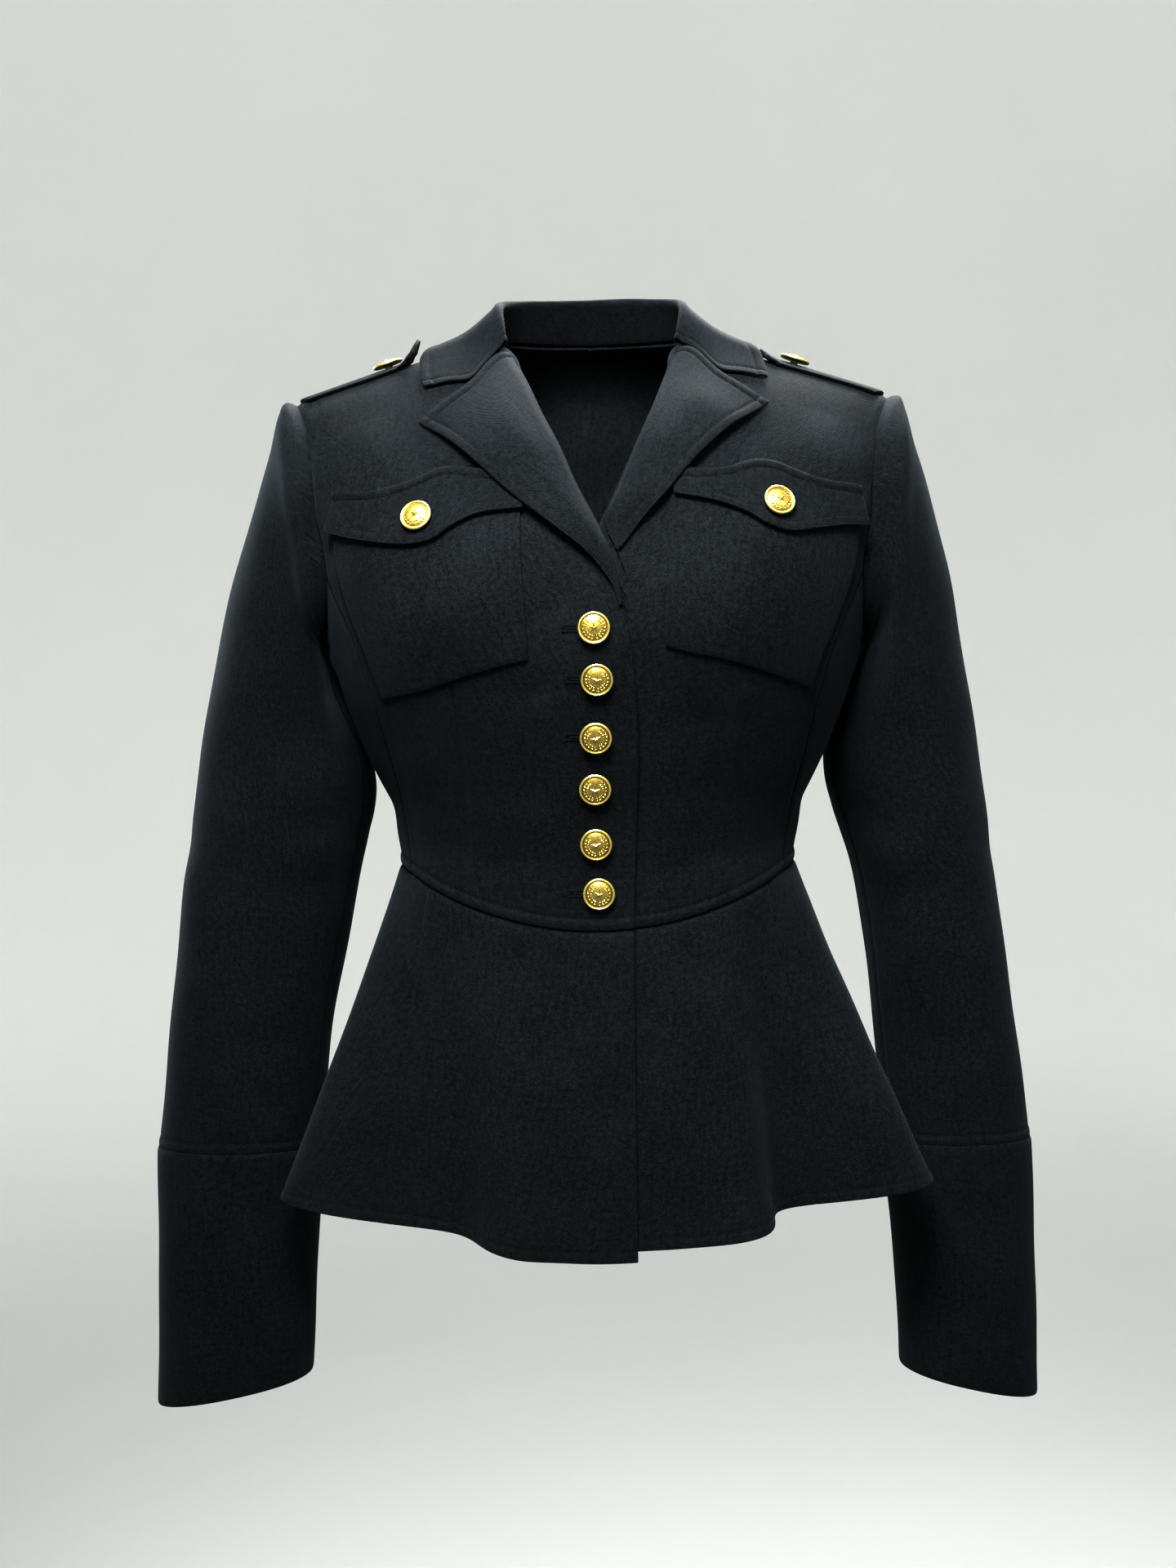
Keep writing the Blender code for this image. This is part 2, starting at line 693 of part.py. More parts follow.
# Gorge seam from the roll line to the notch, then the lapel's top edge to its tip
LAPEL_TOP = {
    RIGHT: curve(
        (0.0515, -0.0088), (0.0602, -0.0132), (0.0660, -0.0192), (0.0706, -0.0254),
        (0.0736, -0.0290), (0.0968, -0.0466), (0.1083, -0.0560),
    ),
    LEFT: curve(
        (0.0545, -0.0078), (0.0632, -0.0102), (0.0692, -0.0152), (0.0742, -0.0205),
        (0.0784, -0.0246), (0.0925, -0.0342), (0.1104, -0.0460),
    ),
}
LAPEL_ROLL_LIFT = 0.0024
LAPEL_ROLL_POWER = 0.6
LAPEL_OVER_FLAP = 0.0052
LAPEL_LIFT_ACROSS = 0.55
LAPEL_LIFT_FROM = 0.05
LAPEL_LIFT_END = 0.25


def straight(first, last):
    """A straight edge between two places, read by its share."""
    return lambda share: mix(np.array(first), np.array(last), share)


def lapel_surface(side):
    """A lapel lying on its front, from the roll line to the outer edge."""
    roll, edge = LAPEL_ROLL[side], LAPEL_EDGE[side]
    outline = coons(straight(roll(0.0), edge(0.0)), LAPEL_TOP[side], roll, edge)

    def on_front(u, v):
        return front_skin(side, *outline(u, v))

    def lift(u, v):
        rolled = LAPEL_ROLL_LIFT * math.sin(math.pi * u ** LAPEL_ROLL_POWER) * min(1.0, v / LAPEL_LIFT_END)
        rise = eased((v - LAPEL_LIFT_FROM) / LAPEL_LIFT_END) * eased((1.0 - v) / LAPEL_LIFT_END)
        over_flap = LAPEL_OVER_FLAP * eased(u / LAPEL_LIFT_ACROSS) * rise
        return LAID_ON + LAPEL_WALL + rolled + over_flap
    return raised(on_front, lift)


# Collar

# From the gorge, 0, to the centre back, 1: the fold and the outer edge
COLLAR = Table(
    "place fold_x fold_y fold_z edge_x edge_y edge_z",
    (0.00, 0.0553, -0.0791, -0.0009, 0.1100, -0.0915, -0.0270),
    (0.15, 0.0578, -0.0715, 0.0100, 0.1105, -0.0800, -0.0165),
    (0.35, 0.0600, -0.0570, 0.0225, 0.1065, -0.0640, -0.0055),
    (0.55, 0.0575, -0.0370, 0.0275, 0.0985, -0.0370, -0.0025),
    (0.78, 0.0400, -0.0165, 0.0300, 0.0700, 0.0060, -0.0060),
    (1.00, 0.0000, -0.0080, 0.0305, 0.0000, 0.0200, -0.0100),
)
COLLAR_FOLD_HALF = 0.0040
COLLAR_FOLD_DROP = 0.0034
GORGE_FOLD_HALF = 0.0024
GORGE_FOLD_DROP = 0.0018
COLLAR_BASE_UP = 0.0007
NECK_CENTRE_Y = -0.045
LEAF_HOLLOW = 0.0028
LEAF_SLOPE = 0.3
# Share of the neck seam, from the gorge, in which the collar turns with the front that it lies on
GORGE_REACH = 0.35
# Front end of the collar from the gorge past the notch to its tip, seen from the front
COLLAR_END = {
    RIGHT: curve(
        (0.0545, -0.0070), (0.0613, -0.0116), (0.0673, -0.0180), (0.0719, -0.0240),
        (0.0750, -0.0272), (0.0898, -0.0293), (0.1050, -0.0327),
    ),
    LEFT: curve(
        (0.0564, -0.0060), (0.0643, -0.0086), (0.0705, -0.0138), (0.0756, -0.0190),
        (0.0798, -0.0226), (0.0957, -0.0255), (0.1112, -0.0290),
    ),
}
COLLAR_END_LIFT = 0.0032
COLLAR_END_EASE = 0.3
COLLAR_HELD = 0.22
# Share of the collar's width taken by the stand, and by the stand with the fold
STAND_SHARE = 2.0 / 9.0
FOLD_SHARE = 4.0 / 9.0
GORGE_HEIGHT = -0.0050


def unit(vector):
    return vector / np.linalg.norm(vector)


def front_frame(side, across, height):
    """A point on a front and its normal."""
    step = 0.0005
    along = front_skin(side, across + step, height) - front_skin(side, across - step, height)
    up = front_skin(side, across, height + step) - front_skin(side, across, height - step)
    return front_skin(side, across, height), unit(np.cross(along, up))


def front_neck_point(side, share):
    height = mix(GORGE_HEIGHT, NECK_TOP, share)
    return front_skin(side, CLOSING_EDGE[side].at(height)["across"], height)


def back_neck_point(share):
    across = NECK_HALF * (1.0 - share)
    height = NECK_TOP * (across / NECK_HALF) ** 2
    return np.array((across, back_depth(across, height), height))


NECK_STEPS = 24
FRONT_NECK = {
    side: curve(*[front_neck_point(side, step / NECK_STEPS) for step in range(NECK_STEPS + 1)])
    for side, name in SIDES
}
BACK_NECK = curve(*[back_neck_point((step / NECK_STEPS) ** 2) for step in range(NECK_STEPS + 1)])


def neck_point(side, place):
    """The neck seam from the gorge, 0, over the shoulder seam, 0.5, to the centre back, 1."""
    return FRONT_NECK[side](place / 0.5) if place < 0.5 else BACK_NECK((place - 0.5) / 0.5)


def collar_profile(side, place):
    """Places of the stand's foot, inner fold, fold, outer fold, middle of the leaf and outer edge."""
    row = COLLAR.at(place)
    fold = np.array((row["fold_x"], row["fold_y"], row["fold_z"]))
    edge = np.array((row["edge_x"], row["edge_y"], row["edge_z"]))
    neck = neck_point(side, place)
    inward = unit(np.array((-fold[0], NECK_CENTRE_Y - fold[1], 0.0)))
    out = unit((edge - fold) * np.array((1.0, 1.0, LEAF_SLOPE)))
    up = np.array((0.0, 0.0, 1.0))
    forward = eased(1.0 - place / GORGE_REACH)
    if forward > 0.0:
        normal = front_frame(side, neck[0], neck[2])[1]
        along = neck_point(side, place + 0.01) - neck_point(side, max(place - 0.01, 0.0))
        across = unit(np.cross(normal, along))
        across = across if across[0] < 0.0 else -across
        up = unit(mix(up, normal, forward))
        inward = unit(mix(inward, across, forward))
        out = unit(mix(out, -across, forward))
    half = mix(COLLAR_FOLD_HALF, GORGE_FOLD_HALF, forward)
    drop = mix(COLLAR_FOLD_DROP, GORGE_FOLD_DROP, forward)
    foot = neck + inward * (COLLAR_WALL + SEAM) + up * COLLAR_BASE_UP * (1.0 - forward)
    inner = fold - out * half - up * drop
    outer = fold + out * half - up * drop
    middle = (fold + edge) / 2 - out * LEAF_HOLLOW - up * LEAF_HOLLOW
    return foot, inner, fold, outer, middle, edge


def collar_half(side, place, v):
    """Inner side of the stand, over the fold and down the outer side; v runs across the collar."""
    foot, inner, fold, outer, middle, edge = collar_profile(side, place)
    if v < STAND_SHARE:
        return mix(foot, inner, v / STAND_SHARE)
    if v < FOLD_SHARE:
        return curve(inner, fold, outer)((v - STAND_SHARE) / (FOLD_SHARE - STAND_SHARE))
    share = (v - FOLD_SHARE) / (1.0 - FOLD_SHARE)
    free = curve(outer, middle, edge)(share)
    landed, landed_normal = front_frame(side, *COLLAR_END[side](share))
    end = landed + landed_normal * COLLAR_END_LIFT
    return mix(free, mix(outer, end, eased(share / COLLAR_END_EASE)), max(1.0 - place / COLLAR_HELD, 0.0))


def collar_surface(u, v):
    """The whole collar from the right gorge over the centre back to the left gorge."""
    if u < 0.5:
        point = collar_half(RIGHT, 2.0 * u, v)
        return np.array((-point[0], point[1], point[2]))
    return collar_half(LEFT, 2.0 - 2.0 * u, v)


# Pockets and flaps

# Edges seen from the front, from the top down or from the centre outwards
POCKET = {
    RIGHT: {
        "inner": curve((0.0403, -0.2001), (0.0427, -0.1644), (0.0440, -0.1411), (0.0446, -0.1080)),
        "outer": curve(
            (0.1299, -0.2247), (0.1357, -0.2082), (0.1515, -0.1667), (0.1600, -0.1285), (0.1612, -0.1120),
        ),
        "bottom": curve(
            (0.0403, -0.2001), (0.0550, -0.2032), (0.0788, -0.2101), (0.1031, -0.2182), (0.1299, -0.2247),
        ),
        "top": straight((0.0446, -0.1080), (0.1612, -0.1120)),
    },
    LEFT: {
        "inner": curve((0.0419, -0.1928), (0.0429, -0.1704), (0.0452, -0.1377), (0.0466, -0.1020)),
        "outer": curve(
            (0.1311, -0.2207), (0.1347, -0.2084), (0.1485, -0.1773), (0.1590, -0.1475), (0.1638, -0.1120),
        ),
        "bottom": curve(
            (0.0419, -0.1928), (0.0556, -0.1966), (0.0752, -0.2006), (0.1136, -0.2136), (0.1311, -0.2207),
        ),
        "top": straight((0.0466, -0.1020), (0.1638, -0.1120)),
    },
}
POCKET_WALL = 0.0016
FLAP = {
    RIGHT: {
        "top": curve(
            (0.0440, -0.0905), (0.0767, -0.0862), (0.0928, -0.0858), (0.1020, -0.0897),
            (0.1147, -0.0950), (0.1290, -0.0980), (0.1578, -0.0972),
        ),
        "bottom": curve(
            (0.0429, -0.1111), (0.0729, -0.1157), (0.0857, -0.1224), (0.0966, -0.1296),
            (0.1090, -0.1320), (0.1306, -0.1301), (0.1458, -0.1271), (0.1632, -0.1220),
        ),
    },
    LEFT: {
        "top": curve(
            (0.0480, -0.0880), (0.0800, -0.0875), (0.1011, -0.0831), (0.1097, -0.0842),
            (0.1226, -0.0893), (0.1362, -0.0939), (0.1627, -0.0973),
        ),
        "bottom": curve(
            (0.0485, -0.1040), (0.0769, -0.1101), (0.0916, -0.1157), (0.1028, -0.1222),
            (0.1150, -0.1262), (0.1349, -0.1244), (0.1525, -0.1220), (0.1672, -0.1217),
        ),
    },
}
FLAP_WALL = 0.0018
POCKET_OFF = 0.0007
FLAP_OFF = 0.0006
POCKET_TOP_FACE = POCKET_OFF + POCKET_WALL
FLAP_TOP_FACE = POCKET_TOP_FACE + FLAP_OFF + FLAP_WALL


def pocket_surface(side):
    edges = POCKET[side]
    outline = coons(edges["bottom"], edges["top"], edges["inner"], edges["outer"])
    return raised(lambda u, v: front_skin(side, *outline(u, v)), POCKET_TOP_FACE)


def flap_surface(side):
    bottom, top = FLAP[side]["bottom"], FLAP[side]["top"]
    outline = coons(bottom, top, straight(bottom(0.0), top(0.0)), straight(bottom(1.0), top(1.0)))
    return raised(lambda u, v: front_skin(side, *outline(u, v)), FLAP_TOP_FACE)


# Shoulder straps

STRAP_NECK_END = 0.1075
STRAP_SLEEVE_END = 0.1878
STRAP_POINT = 0.0070
STRAP_SLEEVE_CURVE = 0.0075
STRAP_MIDDLE_Y = -0.0530
STRAP_HALF = Table("share half", (0.0, 0.0170), (0.5, 0.0185), (1.0, 0.0205))
STRAP_WALL = 0.0020
STRAP_CURL = {RIGHT: 0.0120, LEFT: 0.0030}
STRAP_CURL_REACH = 0.17
STRAP_CURL_POWER = 1.5
STRAP_EDGE_SINK = 0.6
STRAP_CROWDING = 1.4
SHOULDER_SEARCH = 0.05


def over_shoulder(across, y):
    """Height of the bodice over the shoulder seam at a place seen from above."""
    seam = shoulder_depth(across)
    depth = front_depth if y < seam else back_depth
    high = shoulder_height(across)
    low = high - SHOULDER_SEARCH
    top = high
    for _ in range(30):
        middle = (low + high) / 2
        if abs(depth(across, middle) - seam) > abs(y - seam):
            low = middle
        else:
            high = middle
    return min(high, top)


def strap_surface(side):
    """A shoulder strap from its pointed neck end to the sleeve seam; v runs from the front edge back."""
    def on_shoulder(u, v):
        width = STRAP_HALF.at(u)["half"]
        place = 2.0 * v - 1.0
        end = STRAP_NECK_END + STRAP_POINT * place * place
        across = mix(end, STRAP_SLEEVE_END - STRAP_SLEEVE_CURVE * place * place, u ** STRAP_CROWDING)
        y = STRAP_MIDDLE_Y + place * width
        return np.array((across, y, over_shoulder(across, y)))

    def lift(u, v):
        held = 1.0 - u ** STRAP_CROWDING / STRAP_CURL_REACH
        curl = STRAP_CURL[side] * max(held, 0.0) ** STRAP_CURL_POWER
        return LAID_ON + STRAP_WALL + curl * (1.0 - STRAP_EDGE_SINK * (2.0 * v - 1.0) ** 2)
    return raised(on_shoulder, lift)


# Buttons

# Half of the button's section from the middle of its dome down to the foot of its shank
BUTTON_SECTION = (
    (0.0000, 0.0054), (0.0050, 0.0049), (0.0082, 0.0038), (0.0090, 0.0041),
    (0.0099, 0.0033), (0.0090, 0.0020), (0.0026, 0.0017), (0.0026, 0.0003), (0.0000, 0.0003),
)
BUTTON_STEPS = 14
FRONT_BUTTONS = (
    (-0.0009, -0.1815), (0.0006, -0.2123), (-0.0005, -0.2474),
    (-0.0012, -0.2789), (-0.0010, -0.3133), (0.0004, -0.3442),
)
POCKET_BUTTONS = {RIGHT: (0.1056, -0.1162), LEFT: (0.1107, -0.1094)}
STRAP_BUTTON = 0.40


def button(name, place, normal):
    """A domed button with a raised rim, turned about the direction that it faces."""
    mesh = bpy.data.meshes.new(name)
    edges = [(index, index + 1) for index in range(len(BUTTON_SECTION) - 1)]
    mesh.from_pydata([(radius, 0.0, height) for radius, height in BUTTON_SECTION], edges, [])
    piece = bpy.data.objects.new(name, mesh)
    turned = piece.modifiers.new("Turned", "SCREW")
    turned.axis = "Z"
    turned.steps = turned.render_steps = BUTTON_STEPS
    turned.use_merge_vertices = True
    turned.merge_threshold = 0.00001
    turned.use_smooth_shade = True
    mesh.materials.append(brass_material(name))
    piece.location = Vector(place)
    piece.rotation_mode = "QUATERNION"
    piece.rotation_quaternion = Vector(normal).to_track_quat("Z", "Y")
    parts.objects.link(piece)
    return piece


def front_place(side, across, height, lift):
    """A point and its normal on a front, moved out by lift."""
    point, normal = front_frame(side, across, height)
    flip = np.array((side, 1.0, 1.0))
    return (point + normal * lift) * flip, normal * flip


for old in list(bpy.data.objects):
    bpy.data.objects.remove(old, do_unlink=True)
parts = bpy.data.collections.new("peplum_jacket")
bpy.context.scene.collection.children.link(parts)

for side, name in SIDES:
    cloth_piece("front_" + name, 10, PANEL_ROWS, trimmed(on_side(front_surface(side), side)))
    cloth_piece("side_" + name, 7, SIDE_ROWS, trimmed(on_side(side_surface, side)))
    back = trimmed(on_side(lambda u, v: back_surface(1.0 - u, v), side))
    cloth_piece("back_" + name, 9, PANEL_ROWS, back)
    peplum_front = peplum_surface(side, CLOSING_TURN, PEPLUM_FRONT_TURN)
    peplum_side = peplum_surface(side, PEPLUM_FRONT_TURN, PEPLUM_SIDE_TURN)
    if side == RIGHT:
        peplum_front = peplum_surface(side, PEPLUM_FRONT_TURN, CLOSING_TURN)
        peplum_side = peplum_surface(side, PEPLUM_SIDE_TURN, PEPLUM_FRONT_TURN)
    cloth_piece("peplum_front_" + name, 15, 6, trimmed(peplum_front, sides=2.0 * TRIM, top=0.0))
    cloth_piece("peplum_side_" + name, 15, 6, trimmed(peplum_side, sides=2.0 * TRIM, top=0.0))
    upper = sleeve_surface(name, BACK_ARM_SEAM - 360.0, FRONT_ARM_SEAM)
    upper = trimmed(on_side(upper, side), sides=2.0 * TRIM, bottom=0.0, top=0.0)
    cloth_piece("sleeve_upper_" + name, 12, 17, upper, SLEEVE_WALL)
    lower = sleeve_surface(name, FRONT_ARM_SEAM, BACK_ARM_SEAM)
    lower = trimmed(on_side(lower, side), sides=2.0 * TRIM, bottom=0.0, top=0.0)
    cloth_piece("sleeve_under_" + name, 6, 17, lower, SLEEVE_WALL)
    cloth_piece("cuff_" + name, 20, 4, trimmed(on_side(cuff_surface(name), side), top=SEAM * 2))
    cloth_piece("lapel_" + name, 6, 12, on_side(lapel_surface(side), side), LAPEL_WALL)
    cloth_piece("pocket_" + name, 9, 7, on_side(pocket_surface(side), side), POCKET_WALL)
    cloth_piece("flap_" + name, 12, 3, on_side(flap_surface(side), side), FLAP_WALL)
    strap = strap_surface(side)
    cloth_piece("epaulette_" + name, 9, 4, on_side(strap, side), STRAP_WALL)
    button("button_pocket_" + name, *front_place(side, *POCKET_BUTTONS[side], FLAP_TOP_FACE))
    point, normal = frame_at(strap, STRAP_BUTTON, 0.5)
    flip = np.array((side, 1.0, 1.0))
    button("button_epaulette_" + name, point * flip, normal * flip)

cloth_piece("peplum_back", 24, 6, trimmed(peplum_back_surface, sides=2.0 * TRIM, top=0.0))
cloth_piece("collar", 28, 9, collar_surface, COLLAR_WALL)
for number, (across, height) in enumerate(FRONT_BUTTONS, start=1):
    button(f"button_front_{number}", *front_place(RIGHT, -across, height, 0.0))
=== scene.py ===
"""Looks of the peplum jacket: fine cloth shells on the form of its solids, stitching, buttons and light.

Metres, +Z up, front to -Y, with the origin at the nape. Right and left are the wearer's.
"""

import math
from collections import namedtuple

import bmesh
import bpy
import numpy as np
from mathutils import Matrix, Vector


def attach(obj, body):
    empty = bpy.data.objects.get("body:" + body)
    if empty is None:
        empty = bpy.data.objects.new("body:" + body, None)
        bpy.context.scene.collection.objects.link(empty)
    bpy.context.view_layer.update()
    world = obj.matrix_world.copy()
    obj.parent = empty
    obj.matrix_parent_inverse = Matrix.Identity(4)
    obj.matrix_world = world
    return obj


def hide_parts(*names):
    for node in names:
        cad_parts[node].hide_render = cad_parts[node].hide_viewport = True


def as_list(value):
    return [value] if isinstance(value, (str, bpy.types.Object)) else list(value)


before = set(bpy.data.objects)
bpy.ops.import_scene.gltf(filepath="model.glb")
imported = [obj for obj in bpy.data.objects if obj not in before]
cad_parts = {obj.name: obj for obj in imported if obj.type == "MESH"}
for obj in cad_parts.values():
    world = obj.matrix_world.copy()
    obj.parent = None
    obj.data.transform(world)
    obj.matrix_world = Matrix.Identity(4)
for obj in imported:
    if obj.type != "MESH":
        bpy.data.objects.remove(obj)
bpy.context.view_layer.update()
scene = bpy.context.scene

# Camera

PHOTO_PLACE = (-0.0055, -1.925, -0.143)
PHOTO_LENS = 66.0
PHOTO_PITCH = math.atan(270.0 / 3520.0)
PHOTO_ROLL = math.radians(0.7)

camera = bpy.data.objects.new("camera", bpy.data.cameras.new("camera"))
scene.collection.objects.link(camera)
scene.camera = camera
camera.data.sensor_width = 36.0
camera.data.lens = PHOTO_LENS
level_turn = Matrix.Rotation(math.pi / 2 - PHOTO_PITCH, 4, "X") @ Matrix.Rotation(-PHOTO_ROLL, 4, "Z")
camera.matrix_world = Matrix.Translation(PHOTO_PLACE) @ level_turn


# The form, worked out as the solids are

WALL = 0.0018
SLEEVE_WALL = 0.0015
LAPEL_WALL = 0.0022
COLLAR_WALL = 0.0018
SEAM = 0.0003
LAID_ON = 0.0004

RIGHT = -1
LEFT = 1
SIDES = ((RIGHT, "right"), (LEFT, "left"))


class Table:
    """Rows with named columns, read on a smooth curve through them by the first column."""

    def __init__(self, names, *rows):
        self.names = names.split()
        self.rows = np.array(rows, dtype=float)
        self.keys = self.rows[:, 0]
        self.slopes = np.gradient(self.rows, self.keys, axis=0)

    def at(self, key):
        key = min(max(key, self.keys[0]), self.keys[-1])
        low = min(int(np.searchsorted(self.keys, key, side="right")) - 1, len(self.keys) - 2)
        span = self.keys[low + 1] - self.keys[low]
        t = (key - self.keys[low]) / span
        before, after = self.rows[low], self.rows[low + 1]
        value = (
            before * (1 + 2 * t) * (1 - t) ** 2
            + after * t * t * (3 - 2 * t)
            + self.slopes[low] * span * t * (1 - t) ** 2
            - self.slopes[low + 1] * span * t * t * (1 - t)
        )
        return dict(zip(self.names, value))

    def read(self, key, *columns):
        row = self.at(key)
        return tuple(row[column] for column in columns)


# Bodice sections, from below the waist to the neck
SECTIONS = Table(
    "height half_width front back side front_square back_square",
    (-0.375, 0.1310, -0.1790, 0.0030, -0.0880, 2.35, 2.3),
    (-0.345, 0.1268, -0.1785, 0.0005, -0.0880, 2.35, 2.3),
    (-0.325, 0.1255, -0.1800, 0.0010, -0.0870, 2.35, 2.3),
    (-0.300, 0.1300, -0.1835, 0.0040, -0.0855, 2.35, 2.3),
    (-0.260, 0.1475, -0.1925, 0.0120, -0.0820, 2.40, 2.3),
    (-0.220, 0.1632, -0.2000, 0.0205, -0.0780, 2.50, 2.4),
    (-0.180, 0.1725, -0.2020, 0.0270, -0.0730, 2.60, 2.5),
    (-0.140, 0.1775, -0.1930, 0.0295, -0.0680, 2.80, 2.7),
    (-0.100, 0.1870, -0.1720, 0.0280, -0.0640, 3.00, 3.0),
    (-0.060, 0.2000, -0.1450, 0.0240, -0.0620, 3.00, 3.0),
    (-0.020, 0.2130, -0.1180, 0.0225, -0.0610, 2.80, 2.8),
    (0.020, 0.2220, -0.0950, 0.0210, -0.0600, 2.60, 2.6),
)
BUST_ACROSS = 0.088
BUST_HEIGHT = -0.160
BUST_REACH = 0.007
BUST_WIDE = 0.042
BUST_TALL = 0.048

NECK_HALF = 0.068
NECK_TOP = 0.002
TIP_HALF = 0.190
SHOULDER_SLOPE = 0.33
NECK_SEAM_Y = -0.048
TIP_SEAM_Y = -0.062
FRONT_ROUND = 0.090
BACK_ROUND = 0.055

# Half widths of the armhole seam above its middle
ARMHOLE = Table(
    "height front_seam back_seam",
    (-0.1140, 0.1745, 0.1690),
    (-0.0980, 0.1755, 0.1695),
    (-0.0800, 0.1770, 0.1715),
    (-0.0600, 0.1800, 0.1765),
    (-0.0480, 0.1845, 0.1825),
    (-0.0383, 0.1900, 0.1900),
)
ARMHOLE_MIDDLE = -0.114
ARMHOLE_TOP = -0.0383
ARMHOLE_FOOT = -0.190
ARMHOLE_SQUARE = 2.5

WAIST_FRONT = -0.367
WAIST_SIDE = -0.331
WAIST_BACK = -0.338

# Half widths of the seams between front, side and back panels
PANEL_SEAMS = Table(
    "height front_seam back_seam",
    (-0.345, 0.1160, 0.1060),
    (-0.300, 0.1215, 0.1090),
    (-0.260, 0.1300, 0.1200),
    (-0.230, 0.1375, 0.1330),
    (-0.200, 0.1470, 0.1460),
    (-0.175, 0.1565, 0.1560),
    (-0.150, 0.1665, 0.1640),
)
PANEL_SEAM_TOP = -0.150
SEAM_BLEND = 0.040
SIDE_ROWS = 8
ARMHOLE_ROWS = 7
PANEL_ROWS = SIDE_ROWS + ARMHOLE_ROWS


def signed_power(value, power):
    return math.copysign(abs(value) ** power, value)


def past_neck(across):
    """How far a place lies past the side neck point, rounded off over the centre."""
    if abs(across) < NECK_HALF:
        return (across * across / NECK_HALF - NECK_HALF) / 2
    return abs(across) - NECK_HALF


def shoulder_height(across):
    return NECK_TOP - SHOULDER_SLOPE * past_neck(across)


def shoulder_depth(across):
    share = past_neck(across) / (TIP_HALF - NECK_HALF)
    return NECK_SEAM_Y + (TIP_SEAM_Y - NECK_SEAM_Y) * share


def rounded_over_shoulder(across, height, y, reach):
    """The depth y, drawn in to the shoulder seam as the height nears it."""
    drop = (shoulder_height(across) - height) / reach
    share = min(max(1.0 - drop, 0.0), 1.0)
    seam_y = shoulder_depth(across)
    return seam_y + (y - seam_y) * math.sqrt(1.0 - share * share)


def section_depth(across, height, way):
    """Depth of a bodice section on its front or its back run."""
    row = SECTIONS.at(height)
    ratio = min(abs(across) / row["half_width"], 1.0)
    square = row[way + "_square"]
    return row["side"] + (row[way] - row["side"]) * (1.0 - ratio ** square) ** (1.0 / square)


def front_depth(across, height):
    """How far forward the bodice lies at a place seen from the front."""
    y = section_depth(across, height, "front")
    away = ((abs(across) - BUST_ACROSS) / BUST_WIDE) ** 2 + ((height - BUST_HEIGHT) / BUST_TALL) ** 2
    y -= BUST_REACH * math.exp(-away)
    return rounded_over_shoulder(across, height, y, FRONT_ROUND)


def back_depth(across, height):
    return rounded_over_shoulder(across, height, section_depth(across, height, "back"), BACK_ROUND)


def turn_of(across, height, column):
    """Turn in degrees from the centre towards the side, at a half width."""
    row = SECTIONS.at(height)
    ratio = min(abs(across) / row["half_width"], 1.0)
    return math.degrees(math.asin(ratio ** (row[column] / 2.0)))


def half_width_of(turn, height, column):
    row = SECTIONS.at(height)
    return row["half_width"] * math.sin(math.radians(turn)) ** (2.0 / row[column])


def armhole_middle(front):
    """The column of the section's power, and the turn from the side to the armhole at its middle."""
    seam, square = ("front_seam", "front_square") if front else ("back_seam", "back_square")
    return square, 90.0 - turn_of(ARMHOLE.at(ARMHOLE_MIDDLE)[seam], ARMHOLE_MIDDLE, square)


def armhole_across(height, front):
    """Half width of the armhole seam at a height, on its front or its back run."""
    if height > ARMHOLE_MIDDLE:
        return ARMHOLE.at(height)["front_seam" if front else "back_seam"]
    square, widest = armhole_middle(front)
    drop = min((ARMHOLE_MIDDLE - height) / (ARMHOLE_MIDDLE - ARMHOLE_FOOT), 1.0)
    turn = 90.0 - widest * (1.0 - drop ** ARMHOLE_SQUARE) ** (1.0 / ARMHOLE_SQUARE)
    return half_width_of(turn, height, square)


def armhole_foot(turn):
    """Height of the lower armhole at a turn from the centre front."""
    widest = armhole_middle(turn <= 90.0)[1]
    reach = min(abs(turn - 90.0) / widest, 1.0)
    fall = (1.0 - reach ** ARMHOLE_SQUARE) ** (1.0 / ARMHOLE_SQUARE)
    return ARMHOLE_MIDDLE - (ARMHOLE_MIDDLE - ARMHOLE_FOOT) * fall


def panel_seam(height, front):
    """Half width of the seam in front of or behind the side panel; it ends on the armhole."""
    seam = "front_seam" if front else "back_seam"
    miss = armhole_across(PANEL_SEAM_TOP, front) - PANEL_SEAMS.at(PANEL_SEAM_TOP)[seam]
    return PANEL_SEAMS.at(height)[seam] + miss * eased(1.0 - (PANEL_SEAM_TOP - height) / SEAM_BLEND)


def body_point(turn, height):
    """Outer surface at a turn from the centre front, 0, past the side, 90, to the centre back, 180."""
    if turn <= 90.0:
        across = half_width_of(turn, height, "front_square")
        return np.array((across, front_depth(across, height), height))
    across = half_width_of(180.0 - turn, height, "back_square")
    return np.array((across, back_depth(across, height), height))


def waist_height(across, front):
    """The waist seam dips to the centre front and lies nearly level behind."""
    share = min(abs(across) / SECTIONS.at(WAIST_SIDE)["half_width"], 1.0) ** 2
    centre = WAIST_FRONT if front else WAIST_BACK
    return centre + (WAIST_SIDE - centre) * share


def mix(first, second, share):
    return first + (second - first) * share


def eased(share):
    share = min(max(share, 0.0), 1.0)
    return share * share * (3.0 - 2.0 * share)


def frame_at(surface, u, v):
    """Point and unit normal of surface(u, v); the normal points out where u runs to the wearer's left."""
    step = 0.002
    low_u, high_u = max(u - step, 0.0), min(u + step, 1.0)
    low_v, high_v = max(v - step, 0.0), min(v + step, 1.0)
    along_u = surface(high_u, v) - surface(low_u, v)
    along_v = surface(u, high_v) - surface(u, low_v)
    normal = np.cross(along_u, along_v)
    return surface(u, v), normal / max(np.linalg.norm(normal), 1e-12)


